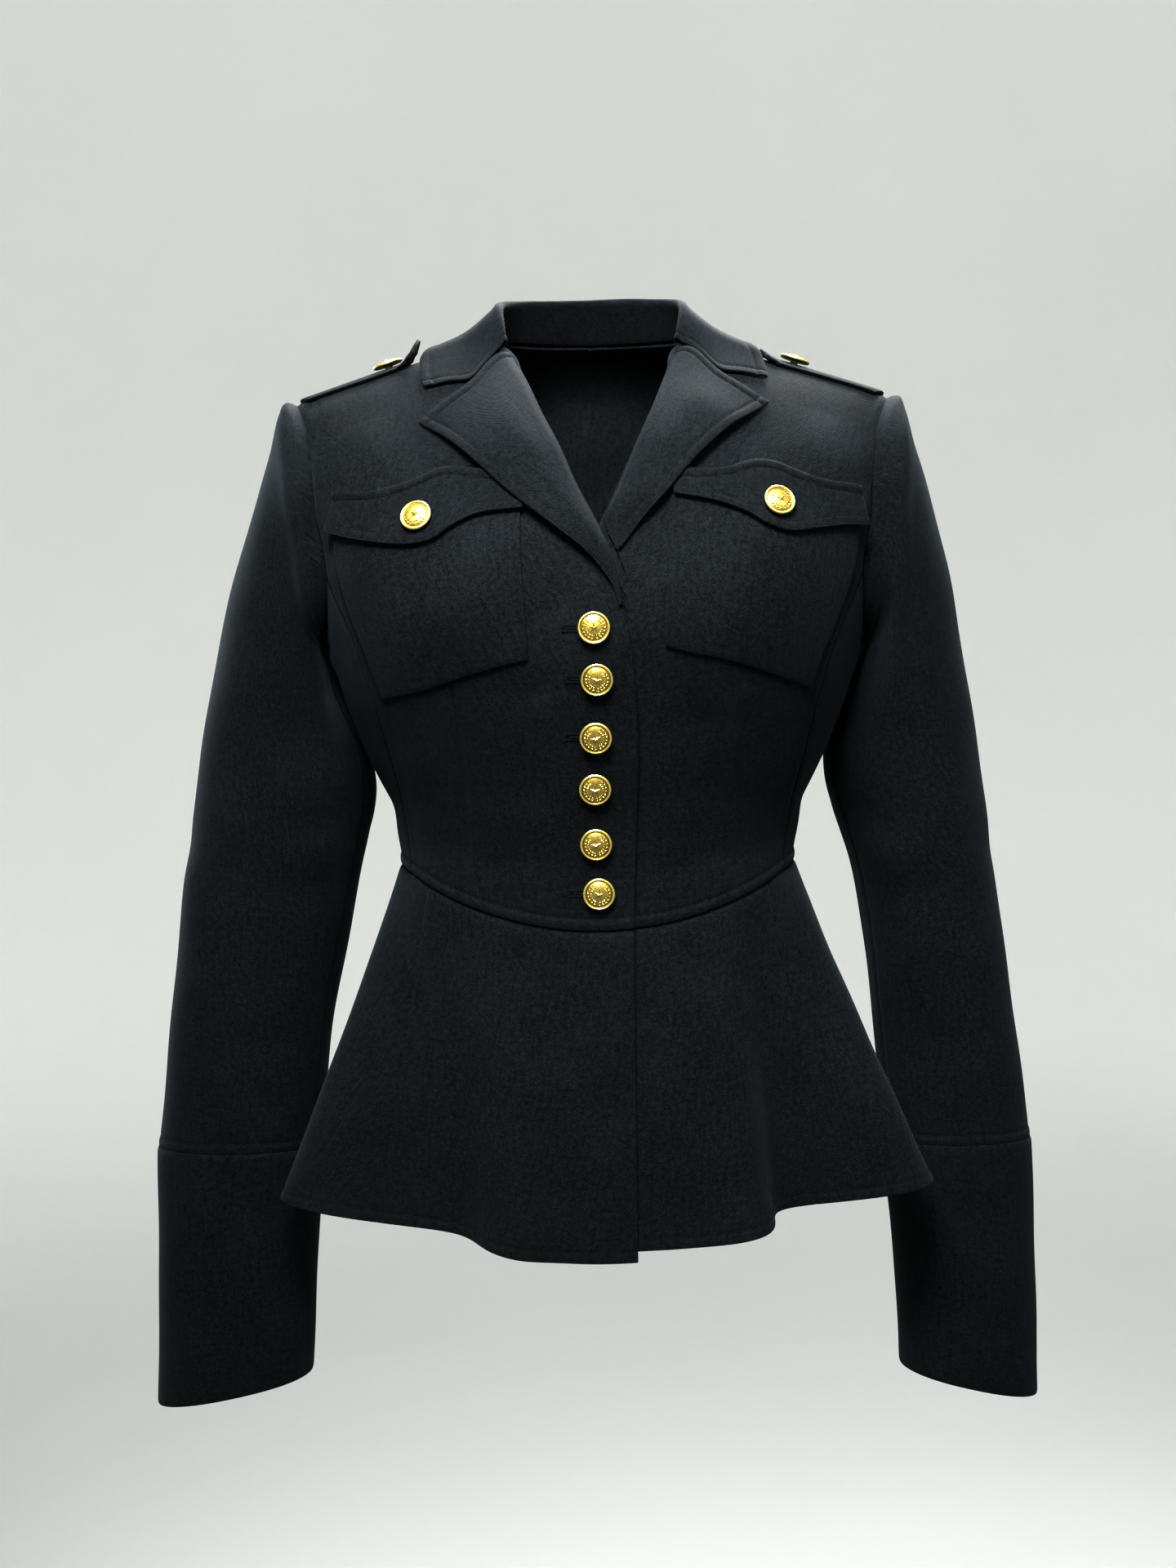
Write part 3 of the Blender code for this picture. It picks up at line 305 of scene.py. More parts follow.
def mirrored(surface):
    """The same surface on the wearer's right, with u still running to the wearer's left."""
    def other(u, v):
        point = surface(1.0 - u, v)
        return np.array((-point[0], point[1], point[2]))
    return other


def on_side(surface, side):
    return surface if side == LEFT else mirrored(surface)


def raised(surface, lift):
    """The surface moved out by lift, a distance or a function of u and v."""
    def lifted(u, v):
        point, normal = frame_at(surface, u, v)
        return point + normal * (lift(u, v) if callable(lift) else lift)
    return lifted


def coons(bottom, top, left, right):
    """A patch between four edge curves; bottom and top run with u, left and right with v."""
    corners = bottom(0.0), bottom(1.0), top(0.0), top(1.0)

    def patch(u, v):
        edges = (1 - v) * bottom(u) + v * top(u) + (1 - u) * left(v) + u * right(v)
        flat = (1 - u) * (1 - v) * corners[0] + u * (1 - v) * corners[1]
        return edges - flat - (1 - u) * v * corners[2] - u * v * corners[3]
    return patch


def curve(*points):
    """A smooth open curve through points, read by its share of the length."""
    places = np.array(points, dtype=float)
    lengths = np.concatenate(([0.0], np.cumsum(np.linalg.norm(np.diff(places, axis=0), axis=1))))
    names = " ".join(["share"] + [f"c{index}" for index in range(places.shape[1])])
    table = Table(names, *np.column_stack((lengths / lengths[-1], places)))
    columns = names.split()[1:]

    def at(share):
        return np.array(table.read(share, *columns))
    return at


# Fronts

# Closing edge and roll line of each front; across is towards the piece's own side
CLOSING_EDGE = {
    RIGHT: Table(
        "height across",
        (-0.3720, -0.0220),
        (-0.2000, -0.0220),
        (-0.1780, -0.0190),
        (-0.1505, -0.0141),
        (-0.1412, -0.0118),
        (-0.1181, -0.0023),
        (-0.0925, 0.0107),
        (-0.0731, 0.0190),
        (-0.0485, 0.0310),
        (-0.0223, 0.0434),
        (-0.0060, 0.0530),
        (0.0020, 0.0680),
    ),
    LEFT: Table(
        "height across",
        (-0.3720, -0.0220),
        (-0.2000, -0.0220),
        (-0.1600, -0.0180),
        (-0.1400, -0.0080),
        (-0.1176, 0.0038),
        (-0.0958, 0.0141),
        (-0.0752, 0.0234),
        (-0.0525, 0.0343),
        (-0.0234, 0.0464),
        (-0.0040, 0.0560),
        (0.0020, 0.0680),
    ),
}
UNDERLAP = 0.0034
UNDERLAP_FROM = 0.020
UNDERLAP_TO = 0.046
# Powers that set rows closer at the shoulder, and columns closer at the outer edge
SHOULDER_CROWDING = 1.4
EDGE_CROWDING = 1.25
FRONT_EDGE_MIDDLE = -0.168
BACK_EDGE_MIDDLE = -0.145


def outer_edge(height, front):
    """Half width of a front's or back's outer edge: the panel seam, then the armhole seam."""
    if height < PANEL_SEAM_TOP:
        return panel_seam(height, front)
    return armhole_across(height, front)


def level(v, bottom, middle, top):
    """Height on a front or back edge: bottom to middle beside the side panel, then up to top."""
    joint = SIDE_ROWS / PANEL_ROWS
    if v < joint:
        return mix(bottom, middle, v / joint)
    return mix(middle, top, 1.0 - (1.0 - (v - joint) / (1.0 - joint)) ** SHOULDER_CROWDING)


def front_skin(side, across, height):
    """Outer surface of a front at a place; the left front drops behind the right one at the closing."""
    y = front_depth(across, height)
    if side == LEFT:
        y += UNDERLAP * (1.0 - eased((across - UNDERLAP_FROM) / (UNDERLAP_TO - UNDERLAP_FROM)))
    return np.array((across, y, height))


def front_surface(side):
    """A front from the waist seam to the shoulder seam; the left one passes under the right one."""
    edge = CLOSING_EDGE[side]
    edge_bottom = waist_height(edge.rows[0][1], True)
    seam_bottom = waist_height(panel_seam(WAIST_SIDE, True), True)

    def surface(u, v):
        edge_height = level(v, edge_bottom, FRONT_EDGE_MIDDLE, NECK_TOP)
        outer_height = level(v, seam_bottom, PANEL_SEAM_TOP, ARMHOLE_TOP)
        share = 1.0 - (1.0 - u) ** EDGE_CROWDING
        start = edge.at(edge_height)["across"]
        across = mix(start, outer_edge(outer_height, True), share)
        height = mix(edge_height, outer_height, share)
        bottom = waist_height(across, True) - mix(edge_bottom, seam_bottom, share)
        height += bottom * (1.0 - v) ** 4
        return front_skin(side, across, height)
    return surface


# Side panels and backs

MEETING_ROUNDS = 24


def side_surface(u, v):
    """Between the front and back seams, from the waist seam to the foot of the armhole."""
    share = 0.5 - 0.5 * math.cos(math.pi * u)

    def turns(height):
        front_turn = turn_of(panel_seam(height, True), height, "front_square")
        back_turn = 180.0 - turn_of(panel_seam(height, False), height, "back_square")
        return mix(front_turn, back_turn, share)

    low, top = ARMHOLE_FOOT, PANEL_SEAM_TOP
    for _ in range(MEETING_ROUNDS):
        middle = (low + top) / 2.0
        if armhole_foot(turns(middle)) > middle:
            low = middle
        else:
            top = middle
    waist_turn = turns(WAIST_SIDE)
    in_front = waist_turn <= 90.0
    square = "front_square" if in_front else "back_square"
    near = half_width_of(min(waist_turn, 180.0 - waist_turn), WAIST_SIDE, square)
    height = mix(waist_height(near, in_front), top, v)
    return body_point(turns(height), height)


def back_surface(u, v):
    """From the centre back to the back seam and armhole; u runs from the centre back to the side."""
    share = 1.0 - (1.0 - u) ** EDGE_CROWDING
    seam_across = panel_seam(WAIST_SIDE, False)
    outer_height = level(v, waist_height(seam_across, False), PANEL_SEAM_TOP, ARMHOLE_TOP)
    top_across = TIP_HALF * share
    top = shoulder_height(top_across)
    if top_across < NECK_HALF:
        top = NECK_TOP * (top_across / NECK_HALF) ** 2
    middle = mix(BACK_EDGE_MIDDLE, PANEL_SEAM_TOP, share)
    height = level(v, waist_height(seam_across * share, False), middle, top)
    across = outer_edge(outer_height, False) * share
    return np.array((across, back_depth(across, height), height))


# Peplum

PEPLUM_CENTRE_Y = -0.088
HEM_HALF_WIDTH = 0.199
HEM_FRONT = 0.121
HEM_BACK = 0.148
HEM_SIDE_HEIGHT = {RIGHT: -0.539, LEFT: -0.531}
HEM_FRONT_DIP = 0.6
HEM_BACK_DIP = 1.0
HEM_BACK_HEIGHT = -0.556
HEM_FRONT_HEIGHT = {RIGHT: -0.567, LEFT: -0.561}
WAIST_GAP = 0.0005
WAIST_HALF_WIDTH = 0.126
WAIST_ROUNDS = 4
PEPLUM_FLARE = 1.05

# Flutes: turn from the centre front, half its width in degrees, and how far the hem stands out or in
FLUTES = {
    RIGHT: (
        (22.0, 12.0, 0.005),
        (49.0, 15.0, -0.027),
        (78.0, 11.0, 0.016),
        (98.0, 11.0, -0.030),
        (118.0, 11.0, 0.018),
        (140.0, 11.0, -0.014),
        (161.0, 10.0, 0.014),
        (180.0, 9.0, -0.010),
    ),
    LEFT: (
        (37.0, 12.0, 0.013),
        (57.0, 10.0, -0.028),
        (77.0, 10.5, 0.025),
        (98.0, 12.0, -0.033),
        (118.0, 11.0, 0.018),
        (139.0, 11.0, -0.014),
        (160.0, 10.0, 0.014),
        (180.0, 9.0, -0.010),
    ),
}
# The two fronts overlap about the centre, so the flutes only start beside it
FLUTES_FROM = 9.0
FLUTES_FULL = 24.0


def ring_reach(turn, half_width, front, back, square):
    """Distance from the centre to a ring that is half_width wide, at a turn from the centre front."""
    sine, cosine = abs(math.sin(math.radians(turn))), math.cos(math.radians(turn))
    depth = front if cosine > 0.0 else back
    return ((sine / half_width) ** square + (abs(cosine) / depth) ** square) ** (-1.0 / square)


def peplum_point(side, size, drop):
    """Outer surface of the peplum on one side; size is the turn from the centre front in degrees."""
    sine, cosine = math.sin(math.radians(size)), math.cos(math.radians(size))
    front = cosine > 0.0
    across = WAIST_HALF_WIDTH * sine
    for _ in range(WAIST_ROUNDS):
        waist = waist_height(across, front)
        row = SECTIONS.at(waist)
        waist_reach = ring_reach(
            size, row["half_width"], row["side"] - row["front"], row["back"] - row["side"],
            row["front_square" if front else "back_square"],
        )
        across = waist_reach * sine
    hem_reach = ring_reach(size, HEM_HALF_WIDTH, HEM_FRONT, HEM_BACK, 2.0)
    fluted = eased((size - FLUTES_FROM) / (FLUTES_FULL - FLUTES_FROM))
    for middle, half, out in FLUTES[side]:
        hem_reach += fluted * out * math.exp(-(((size - middle) / half) ** 2))
    centre_hem = HEM_FRONT_HEIGHT[side] if front else HEM_BACK_HEIGHT
    dip = HEM_FRONT_DIP if front else HEM_BACK_DIP
    hem = mix(HEM_SIDE_HEIGHT[side], centre_hem, abs(cosine) ** (2.0 * dip))
    top = waist - WAIST_GAP
    reach = mix(waist_reach, hem_reach, drop ** PEPLUM_FLARE)
    y = PEPLUM_CENTRE_Y + (row["side"] - PEPLUM_CENTRE_Y) * (1.0 - drop) - reach * cosine
    return np.array((side * reach * sine, y, mix(top, hem, drop)))


# Turns at which the peplum pieces meet; the fronts reach past the centre
CLOSING_TURN = -10.2
PEPLUM_FRONT_TURN = 62.0
PEPLUM_SIDE_TURN = 128.0


def peplum_surface(side, first_turn, last_turn):
    """A peplum piece between two turns; negative turns reach past the centre front."""
    def surface(u, v):
        point = peplum_point(side, mix(first_turn, last_turn, u), 1.0 - v)
        if side == LEFT:
            across = point[0]
            hidden = 1.0 - eased((across - UNDERLAP_FROM) / (UNDERLAP_TO - UNDERLAP_FROM))
            point = point + np.array((0.0, UNDERLAP * hidden, 0.0))
        return point
    return surface


def peplum_back_surface(u, v):
    """Round the back from the left side to the right one."""
    turn = mix(PEPLUM_SIDE_TURN, 360.0 - PEPLUM_SIDE_TURN, u)
    if turn > 180.0:
        return peplum_point(RIGHT, 360.0 - turn, 1.0 - v)
    return peplum_point(LEFT, turn, 1.0 - v)


# Sleeves

# From the sleeve head to the cuff seam: outer and inner height, then their places on each arm
SLEEVE = Table(
    "run top under out_right in_right out_left in_left front back square",
    (0.00, -0.0383, -0.1900, 0.1900, 0.1728, 0.1900, 0.1728, -0.1250, -0.0090, 2.5),
    (0.05, -0.0392, -0.1920, 0.1960, 0.1735, 0.1960, 0.1735, -0.1260, -0.0080, 2.6),
    (0.10, -0.0460, -0.1950, 0.2005, 0.1740, 0.2005, 0.1740, -0.1255, -0.0075, 2.7),
    (0.17, -0.0680, -0.1990, 0.2055, 0.1735, 0.2055, 0.1735, -0.1245, -0.0070, 2.6),
    (0.25, -0.0940, -0.2040, 0.2140, 0.1725, 0.2130, 0.1725, -0.1235, -0.0060, 2.5),
    (0.34, -0.1240, -0.2100, 0.2235, 0.1705, 0.2210, 0.1705, -0.1225, -0.0055, 2.4),
    (0.42, -0.1550, -0.2170, 0.2325, 0.1680, 0.2285, 0.1680, -0.1210, -0.0055, 2.3),
    (0.50, -0.1880, -0.2280, 0.2410, 0.1640, 0.2345, 0.1640, -0.1190, -0.0065, 2.2),
    (0.57, -0.2200, -0.2440, 0.2480, 0.1570, 0.2400, 0.1570, -0.1160, -0.0085, 2.2),
    (0.63, -0.2520, -0.2640, 0.2545, 0.1490, 0.2455, 0.1500, -0.1130, -0.0110, 2.15),
    (0.69, -0.2870, -0.2900, 0.2600, 0.1450, 0.2505, 0.1510, -0.1110, -0.0140, 2.1),
    (0.78, -0.3500, -0.3500, 0.2690, 0.1560, 0.2590, 0.1670, -0.1080, -0.0170, 2.1),
    (0.89, -0.4350, -0.4350, 0.2795, 0.1730, 0.2700, 0.1780, -0.1060, -0.0200, 2.1),
    (1.00, -0.5190, -0.5190, 0.2885, 0.1830, 0.2805, 0.1850, -0.1040, -0.0220, 2.1),
)
CUFF = Table(
    "run top under out_right in_right out_left in_left front back square",
    (0.00, -0.5190, -0.5190, 0.2895, 0.1820, 0.2815, 0.1840, -0.1050, -0.0210, 2.2),
    (0.50, -0.6040, -0.5960, 0.2915, 0.1870, 0.2845, 0.1915, -0.1030, -0.0230, 2.2),
    (1.00, -0.6900, -0.6700, 0.2935, 0.1910, 0.2860, 0.1950, -0.1010, -0.0250, 2.2),
)
# Around the arm: 0 is the top or outer side, 90 the front, 180 the inner side, 270 the back
FRONT_ARM_SEAM = 156.0
BACK_ARM_SEAM = 250.0
CUFF_SEAM_TURN = 250.0


def armhole_point(around):
    """The armhole seam of the bodice, at a turn around it."""
    rise = signed_power(math.cos(math.radians(around)), 2.0 / ARMHOLE_SQUARE)
    end = ARMHOLE_TOP if rise > 0.0 else ARMHOLE_FOOT
    height = mix(ARMHOLE_MIDDLE, end, abs(rise))
    front = math.sin(math.radians(around)) > 0.0
    across = armhole_across(height, front)
    y = front_depth(across, height) if front else back_depth(across, height)
    return np.array((across, y, height))


def arm_point(table, run, around, name):
    """Outer surface of a sleeve or cuff, as a section between its outer and inner edges."""
    row = table.at(run)
    outer = np.array((row["out_" + name], row["top"]))
    inner = np.array((row["in_" + name], row["under"]))
    power = 2.0 / row["square"]
    rise = signed_power(math.cos(math.radians(around)), power)
    forward = signed_power(math.sin(math.radians(around)), power)
    place = (outer + inner) / 2 + (outer - inner) / 2 * rise
    y = (row["front"] + row["back"]) / 2 + (row["front"] - row["back"]) / 2 * forward
    return np.array((place[0], y, place[1]))


# Shares of the sleeve's length in which it leaves the armhole seam, and takes its own depth
HEAD_BLEND = 0.05
SETTLED = 0.32
HEAD_CROWDING = 1.25
ARMHOLE_GAP = 0.0002


def sleeve_surface(name, first, last):
    """A sleeve piece between two turns around the arm; v runs from the cuff seam up to the armhole."""
    def surface(u, v):
        around = mix(last, first, u)
        run = max(1.0 - v, 0.0) ** HEAD_CROWDING
        point = arm_point(SLEEVE, max(run, HEAD_BLEND), around, name)
        seam = armhole_point(around) + np.array((ARMHOLE_GAP, 0.0, 0.0))
        point[1] = mix(seam[1], point[1], eased(run / SETTLED))
        return mix(seam, point, min(run / HEAD_BLEND, 1.0))
    return surface


def cuff_surface(name):
    def surface(u, v):
        around = mix(CUFF_SEAM_TURN, CUFF_SEAM_TURN - 360.0, u)
        return arm_point(CUFF, 1.0 - v, around, name)
    return surface


# Lapels

# Outer edges from the lowest point up to the tip
LAPEL_EDGE = {
    RIGHT: curve(
        (-0.0144, -0.1690), (-0.0106, -0.1572), (-0.0005, -0.1436), (0.0252, -0.1232),
        (0.0498, -0.1040), (0.0718, -0.0841), (0.0945, -0.0646), (0.1083, -0.0560),
    ),
    LEFT: curve(
        (0.0160, -0.1345), (0.0253, -0.1238), (0.0414, -0.1079), (0.0520, -0.0948),
        (0.0688, -0.0772), (0.0825, -0.0653), (0.0997, -0.0535), (0.1104, -0.0460),
    ),
}
# Roll line of the lapel's lower end up to the gorge; the left one stops beside the right front
LAPEL_ROLL = {
    RIGHT: curve(
        (-0.0170, -0.1680), (-0.0139, -0.1505), (-0.0118, -0.1412), (-0.0023, -0.1181), (0.0107, -0.0925),
        (0.0190, -0.0731), (0.0310, -0.0485), (0.0434, -0.0223), (0.0515, -0.0088),
    ),
    LEFT: curve(
        (0.0136, -0.1360), (0.0062, -0.1215), (0.0141, -0.0958), (0.0234, -0.0752),
        (0.0343, -0.0525), (0.0464, -0.0234), (0.0545, -0.0078),
    ),
}
# Gorge seam from the roll line to the notch, then the lapel's top edge to its tip
LAPEL_TOP = {
    RIGHT: curve(
        (0.0515, -0.0088), (0.0602, -0.0132), (0.0660, -0.0192), (0.0706, -0.0254),
        (0.0736, -0.0290), (0.0968, -0.0466), (0.1083, -0.0560),
    ),
    LEFT: curve(
        (0.0545, -0.0078), (0.0632, -0.0102), (0.0692, -0.0152), (0.0742, -0.0205),
        (0.0784, -0.0246), (0.0925, -0.0342), (0.1104, -0.0460),
    ),
}
LAPEL_ROLL_LIFT = 0.0024
LAPEL_ROLL_POWER = 0.6
LAPEL_OVER_FLAP = 0.0052
LAPEL_LIFT_ACROSS = 0.55
LAPEL_LIFT_FROM = 0.05
LAPEL_LIFT_END = 0.25


def straight(first, last):
    """A straight edge between two places, read by its share."""
    return lambda share: mix(np.array(first), np.array(last), share)


def lapel_surface(side):
    """A lapel lying on its front, from the roll line to the outer edge."""
    roll, edge = LAPEL_ROLL[side], LAPEL_EDGE[side]
    outline = coons(straight(roll(0.0), edge(0.0)), LAPEL_TOP[side], roll, edge)

    def on_front(u, v):
        return front_skin(side, *outline(u, v))

    def lift(u, v):
        rolled = LAPEL_ROLL_LIFT * math.sin(math.pi * u ** LAPEL_ROLL_POWER) * min(1.0, v / LAPEL_LIFT_END)
        rise = eased((v - LAPEL_LIFT_FROM) / LAPEL_LIFT_END) * eased((1.0 - v) / LAPEL_LIFT_END)
        over_flap = LAPEL_OVER_FLAP * eased(u / LAPEL_LIFT_ACROSS) * rise
        return LAID_ON + LAPEL_WALL + rolled + over_flap
    return raised(on_front, lift)


# Collar

# From the gorge, 0, to the centre back, 1: the fold and the outer edge
COLLAR = Table(
    "place fold_x fold_y fold_z edge_x edge_y edge_z",
    (0.00, 0.0553, -0.0791, -0.0009, 0.1100, -0.0915, -0.0270),
    (0.15, 0.0578, -0.0715, 0.0100, 0.1105, -0.0800, -0.0165),
    (0.35, 0.0600, -0.0570, 0.0225, 0.1065, -0.0640, -0.0055),
    (0.55, 0.0575, -0.0370, 0.0275, 0.0985, -0.0370, -0.0025),
    (0.78, 0.0400, -0.0165, 0.0300, 0.0700, 0.0060, -0.0060),
    (1.00, 0.0000, -0.0080, 0.0305, 0.0000, 0.0200, -0.0100),
)
COLLAR_FOLD_HALF = 0.0040
COLLAR_FOLD_DROP = 0.0034
GORGE_FOLD_HALF = 0.0024
GORGE_FOLD_DROP = 0.0018
COLLAR_BASE_UP = 0.0007
NECK_CENTRE_Y = -0.045
LEAF_HOLLOW = 0.0028
LEAF_SLOPE = 0.3
# Share of the neck seam, from the gorge, in which the collar turns with the front that it lies on
GORGE_REACH = 0.35
# Front end of the collar from the gorge past the notch to its tip, seen from the front
COLLAR_END = {
    RIGHT: curve(
        (0.0545, -0.0070), (0.0613, -0.0116), (0.0673, -0.0180), (0.0719, -0.0240),
        (0.0750, -0.0272), (0.0898, -0.0293), (0.1050, -0.0327),
    ),
    LEFT: curve(
        (0.0564, -0.0060), (0.0643, -0.0086), (0.0705, -0.0138), (0.0756, -0.0190),
        (0.0798, -0.0226), (0.0957, -0.0255), (0.1112, -0.0290),
    ),
}
COLLAR_END_LIFT = 0.0032
COLLAR_END_EASE = 0.3
COLLAR_HELD = 0.22
# Share of the collar's width taken by the stand, and by the stand with the fold
STAND_SHARE = 2.0 / 9.0
FOLD_SHARE = 4.0 / 9.0
GORGE_HEIGHT = -0.0050


def unit(vector):
    return vector / np.linalg.norm(vector)


def front_frame(side, across, height):
    """A point on a front and its normal."""
    step = 0.0005
    along = front_skin(side, across + step, height) - front_skin(side, across - step, height)
    up = front_skin(side, across, height + step) - front_skin(side, across, height - step)
    return front_skin(side, across, height), unit(np.cross(along, up))


def front_neck_point(side, share):
    height = mix(GORGE_HEIGHT, NECK_TOP, share)
    return front_skin(side, CLOSING_EDGE[side].at(height)["across"], height)


def back_neck_point(share):
    across = NECK_HALF * (1.0 - share)
    height = NECK_TOP * (across / NECK_HALF) ** 2
    return np.array((across, back_depth(across, height), height))


NECK_STEPS = 24
FRONT_NECK = {
    side: curve(*[front_neck_point(side, step / NECK_STEPS) for step in range(NECK_STEPS + 1)])
    for side, name in SIDES
}
BACK_NECK = curve(*[back_neck_point((step / NECK_STEPS) ** 2) for step in range(NECK_STEPS + 1)])


def neck_point(side, place):
    """The neck seam from the gorge, 0, over the shoulder seam, 0.5, to the centre back, 1."""
    return FRONT_NECK[side](place / 0.5) if place < 0.5 else BACK_NECK((place - 0.5) / 0.5)


def collar_profile(side, place):
    """Places of the stand's foot, inner fold, fold, outer fold, middle of the leaf and outer edge."""
    row = COLLAR.at(place)
    fold = np.array((row["fold_x"], row["fold_y"], row["fold_z"]))
    edge = np.array((row["edge_x"], row["edge_y"], row["edge_z"]))
    neck = neck_point(side, place)
    inward = unit(np.array((-fold[0], NECK_CENTRE_Y - fold[1], 0.0)))
    out = unit((edge - fold) * np.array((1.0, 1.0, LEAF_SLOPE)))
    up = np.array((0.0, 0.0, 1.0))
    forward = eased(1.0 - place / GORGE_REACH)
    if forward > 0.0:
        normal = front_frame(side, neck[0], neck[2])[1]
        along = neck_point(side, place + 0.01) - neck_point(side, max(place - 0.01, 0.0))
        across = unit(np.cross(normal, along))
        across = across if across[0] < 0.0 else -across
        up = unit(mix(up, normal, forward))
        inward = unit(mix(inward, across, forward))
        out = unit(mix(out, -across, forward))
    half = mix(COLLAR_FOLD_HALF, GORGE_FOLD_HALF, forward)
    drop = mix(COLLAR_FOLD_DROP, GORGE_FOLD_DROP, forward)
    foot = neck + inward * (COLLAR_WALL + SEAM) + up * COLLAR_BASE_UP * (1.0 - forward)
    inner = fold - out * half - up * drop
    outer = fold + out * half - up * drop
    middle = (fold + edge) / 2 - out * LEAF_HOLLOW - up * LEAF_HOLLOW
    return foot, inner, fold, outer, middle, edge


def collar_half(side, place, v):
    """Inner side of the stand, over the fold and down the outer side; v runs across the collar."""
    foot, inner, fold, outer, middle, edge = collar_profile(side, place)
    if v < STAND_SHARE:
        return mix(foot, inner, v / STAND_SHARE)
    if v < FOLD_SHARE:
        return curve(inner, fold, outer)((v - STAND_SHARE) / (FOLD_SHARE - STAND_SHARE))
    share = (v - FOLD_SHARE) / (1.0 - FOLD_SHARE)
    free = curve(outer, middle, edge)(share)
    landed, landed_normal = front_frame(side, *COLLAR_END[side](share))
    end = landed + landed_normal * COLLAR_END_LIFT
    return mix(free, mix(outer, end, eased(share / COLLAR_END_EASE)), max(1.0 - place / COLLAR_HELD, 0.0))


def collar_surface(u, v):
    """The whole collar from the right gorge over the centre back to the left gorge."""
    if u < 0.5:
        point = collar_half(RIGHT, 2.0 * u, v)
        return np.array((-point[0], point[1], point[2]))
    return collar_half(LEFT, 2.0 - 2.0 * u, v)


# Pockets and flaps

# Edges seen from the front, from the top down or from the centre outwards
POCKET = {
    RIGHT: {
        "inner": curve((0.0403, -0.2001), (0.0427, -0.1644), (0.0440, -0.1411), (0.0446, -0.1080)),
        "outer": curve(
            (0.1299, -0.2247), (0.1357, -0.2082), (0.1515, -0.1667), (0.1600, -0.1285), (0.1612, -0.1120),
        ),
        "bottom": curve(
            (0.0403, -0.2001), (0.0550, -0.2032), (0.0788, -0.2101), (0.1031, -0.2182), (0.1299, -0.2247),
        ),
        "top": straight((0.0446, -0.1080), (0.1612, -0.1120)),
    },
    LEFT: {
        "inner": curve((0.0419, -0.1928), (0.0429, -0.1704), (0.0452, -0.1377), (0.0466, -0.1020)),
        "outer": curve(
            (0.1311, -0.2207), (0.1347, -0.2084), (0.1485, -0.1773), (0.1590, -0.1475), (0.1638, -0.1120),
        ),
        "bottom": curve(
            (0.0419, -0.1928), (0.0556, -0.1966), (0.0752, -0.2006), (0.1136, -0.2136), (0.1311, -0.2207),
        ),
        "top": straight((0.0466, -0.1020), (0.1638, -0.1120)),
    },
}
POCKET_WALL = 0.0016
FLAP = {
    RIGHT: {
        "top": curve(
            (0.0440, -0.0905), (0.0767, -0.0862), (0.0928, -0.0858), (0.1020, -0.0897),
            (0.1147, -0.0950), (0.1290, -0.0980), (0.1578, -0.0972),
        ),
        "bottom": curve(
            (0.0429, -0.1111), (0.0729, -0.1157), (0.0857, -0.1224), (0.0966, -0.1296),
            (0.1090, -0.1320), (0.1306, -0.1301), (0.1458, -0.1271), (0.1632, -0.1220),
        ),
    },
    LEFT: {
        "top": curve(
            (0.0480, -0.0880), (0.0800, -0.0875), (0.1011, -0.0831), (0.1097, -0.0842),
            (0.1226, -0.0893), (0.1362, -0.0939), (0.1627, -0.0973),
        ),
        "bottom": curve(
            (0.0485, -0.1040), (0.0769, -0.1101), (0.0916, -0.1157), (0.1028, -0.1222),
            (0.1150, -0.1262), (0.1349, -0.1244), (0.1525, -0.1220), (0.1672, -0.1217),
        ),
    },
}
FLAP_WALL = 0.0018
POCKET_OFF = 0.0007
FLAP_OFF = 0.0006
POCKET_TOP_FACE = POCKET_OFF + POCKET_WALL
FLAP_TOP_FACE = POCKET_TOP_FACE + FLAP_OFF + FLAP_WALL


def pocket_surface(side):
    edges = POCKET[side]
    outline = coons(edges["bottom"], edges["top"], edges["inner"], edges["outer"])
    return raised(lambda u, v: front_skin(side, *outline(u, v)), POCKET_TOP_FACE)


def flap_surface(side):
    bottom, top = FLAP[side]["bottom"], FLAP[side]["top"]
    outline = coons(bottom, top, straight(bottom(0.0), top(0.0)), straight(bottom(1.0), top(1.0)))
    return raised(lambda u, v: front_skin(side, *outline(u, v)), FLAP_TOP_FACE)


# Shoulder straps

STRAP_NECK_END = 0.1075
STRAP_SLEEVE_END = 0.1878
STRAP_POINT = 0.0070
STRAP_SLEEVE_CURVE = 0.0075
STRAP_MIDDLE_Y = -0.0530
STRAP_HALF = Table("share half", (0.0, 0.0170), (0.5, 0.0185), (1.0, 0.0205))
STRAP_WALL = 0.0020
STRAP_CURL = {RIGHT: 0.0120, LEFT: 0.0030}
STRAP_CURL_REACH = 0.17
STRAP_CURL_POWER = 1.5
STRAP_EDGE_SINK = 0.6
STRAP_CROWDING = 1.4
SHOULDER_SEARCH = 0.05


def over_shoulder(across, y):
    """Height of the bodice over the shoulder seam at a place seen from above."""
    seam = shoulder_depth(across)
    depth = front_depth if y < seam else back_depth
    high = shoulder_height(across)
    low = high - SHOULDER_SEARCH
    top = high
    for _ in range(30):
        middle = (low + high) / 2
        if abs(depth(across, middle) - seam) > abs(y - seam):
            low = middle
        else:
            high = middle
    return min(high, top)


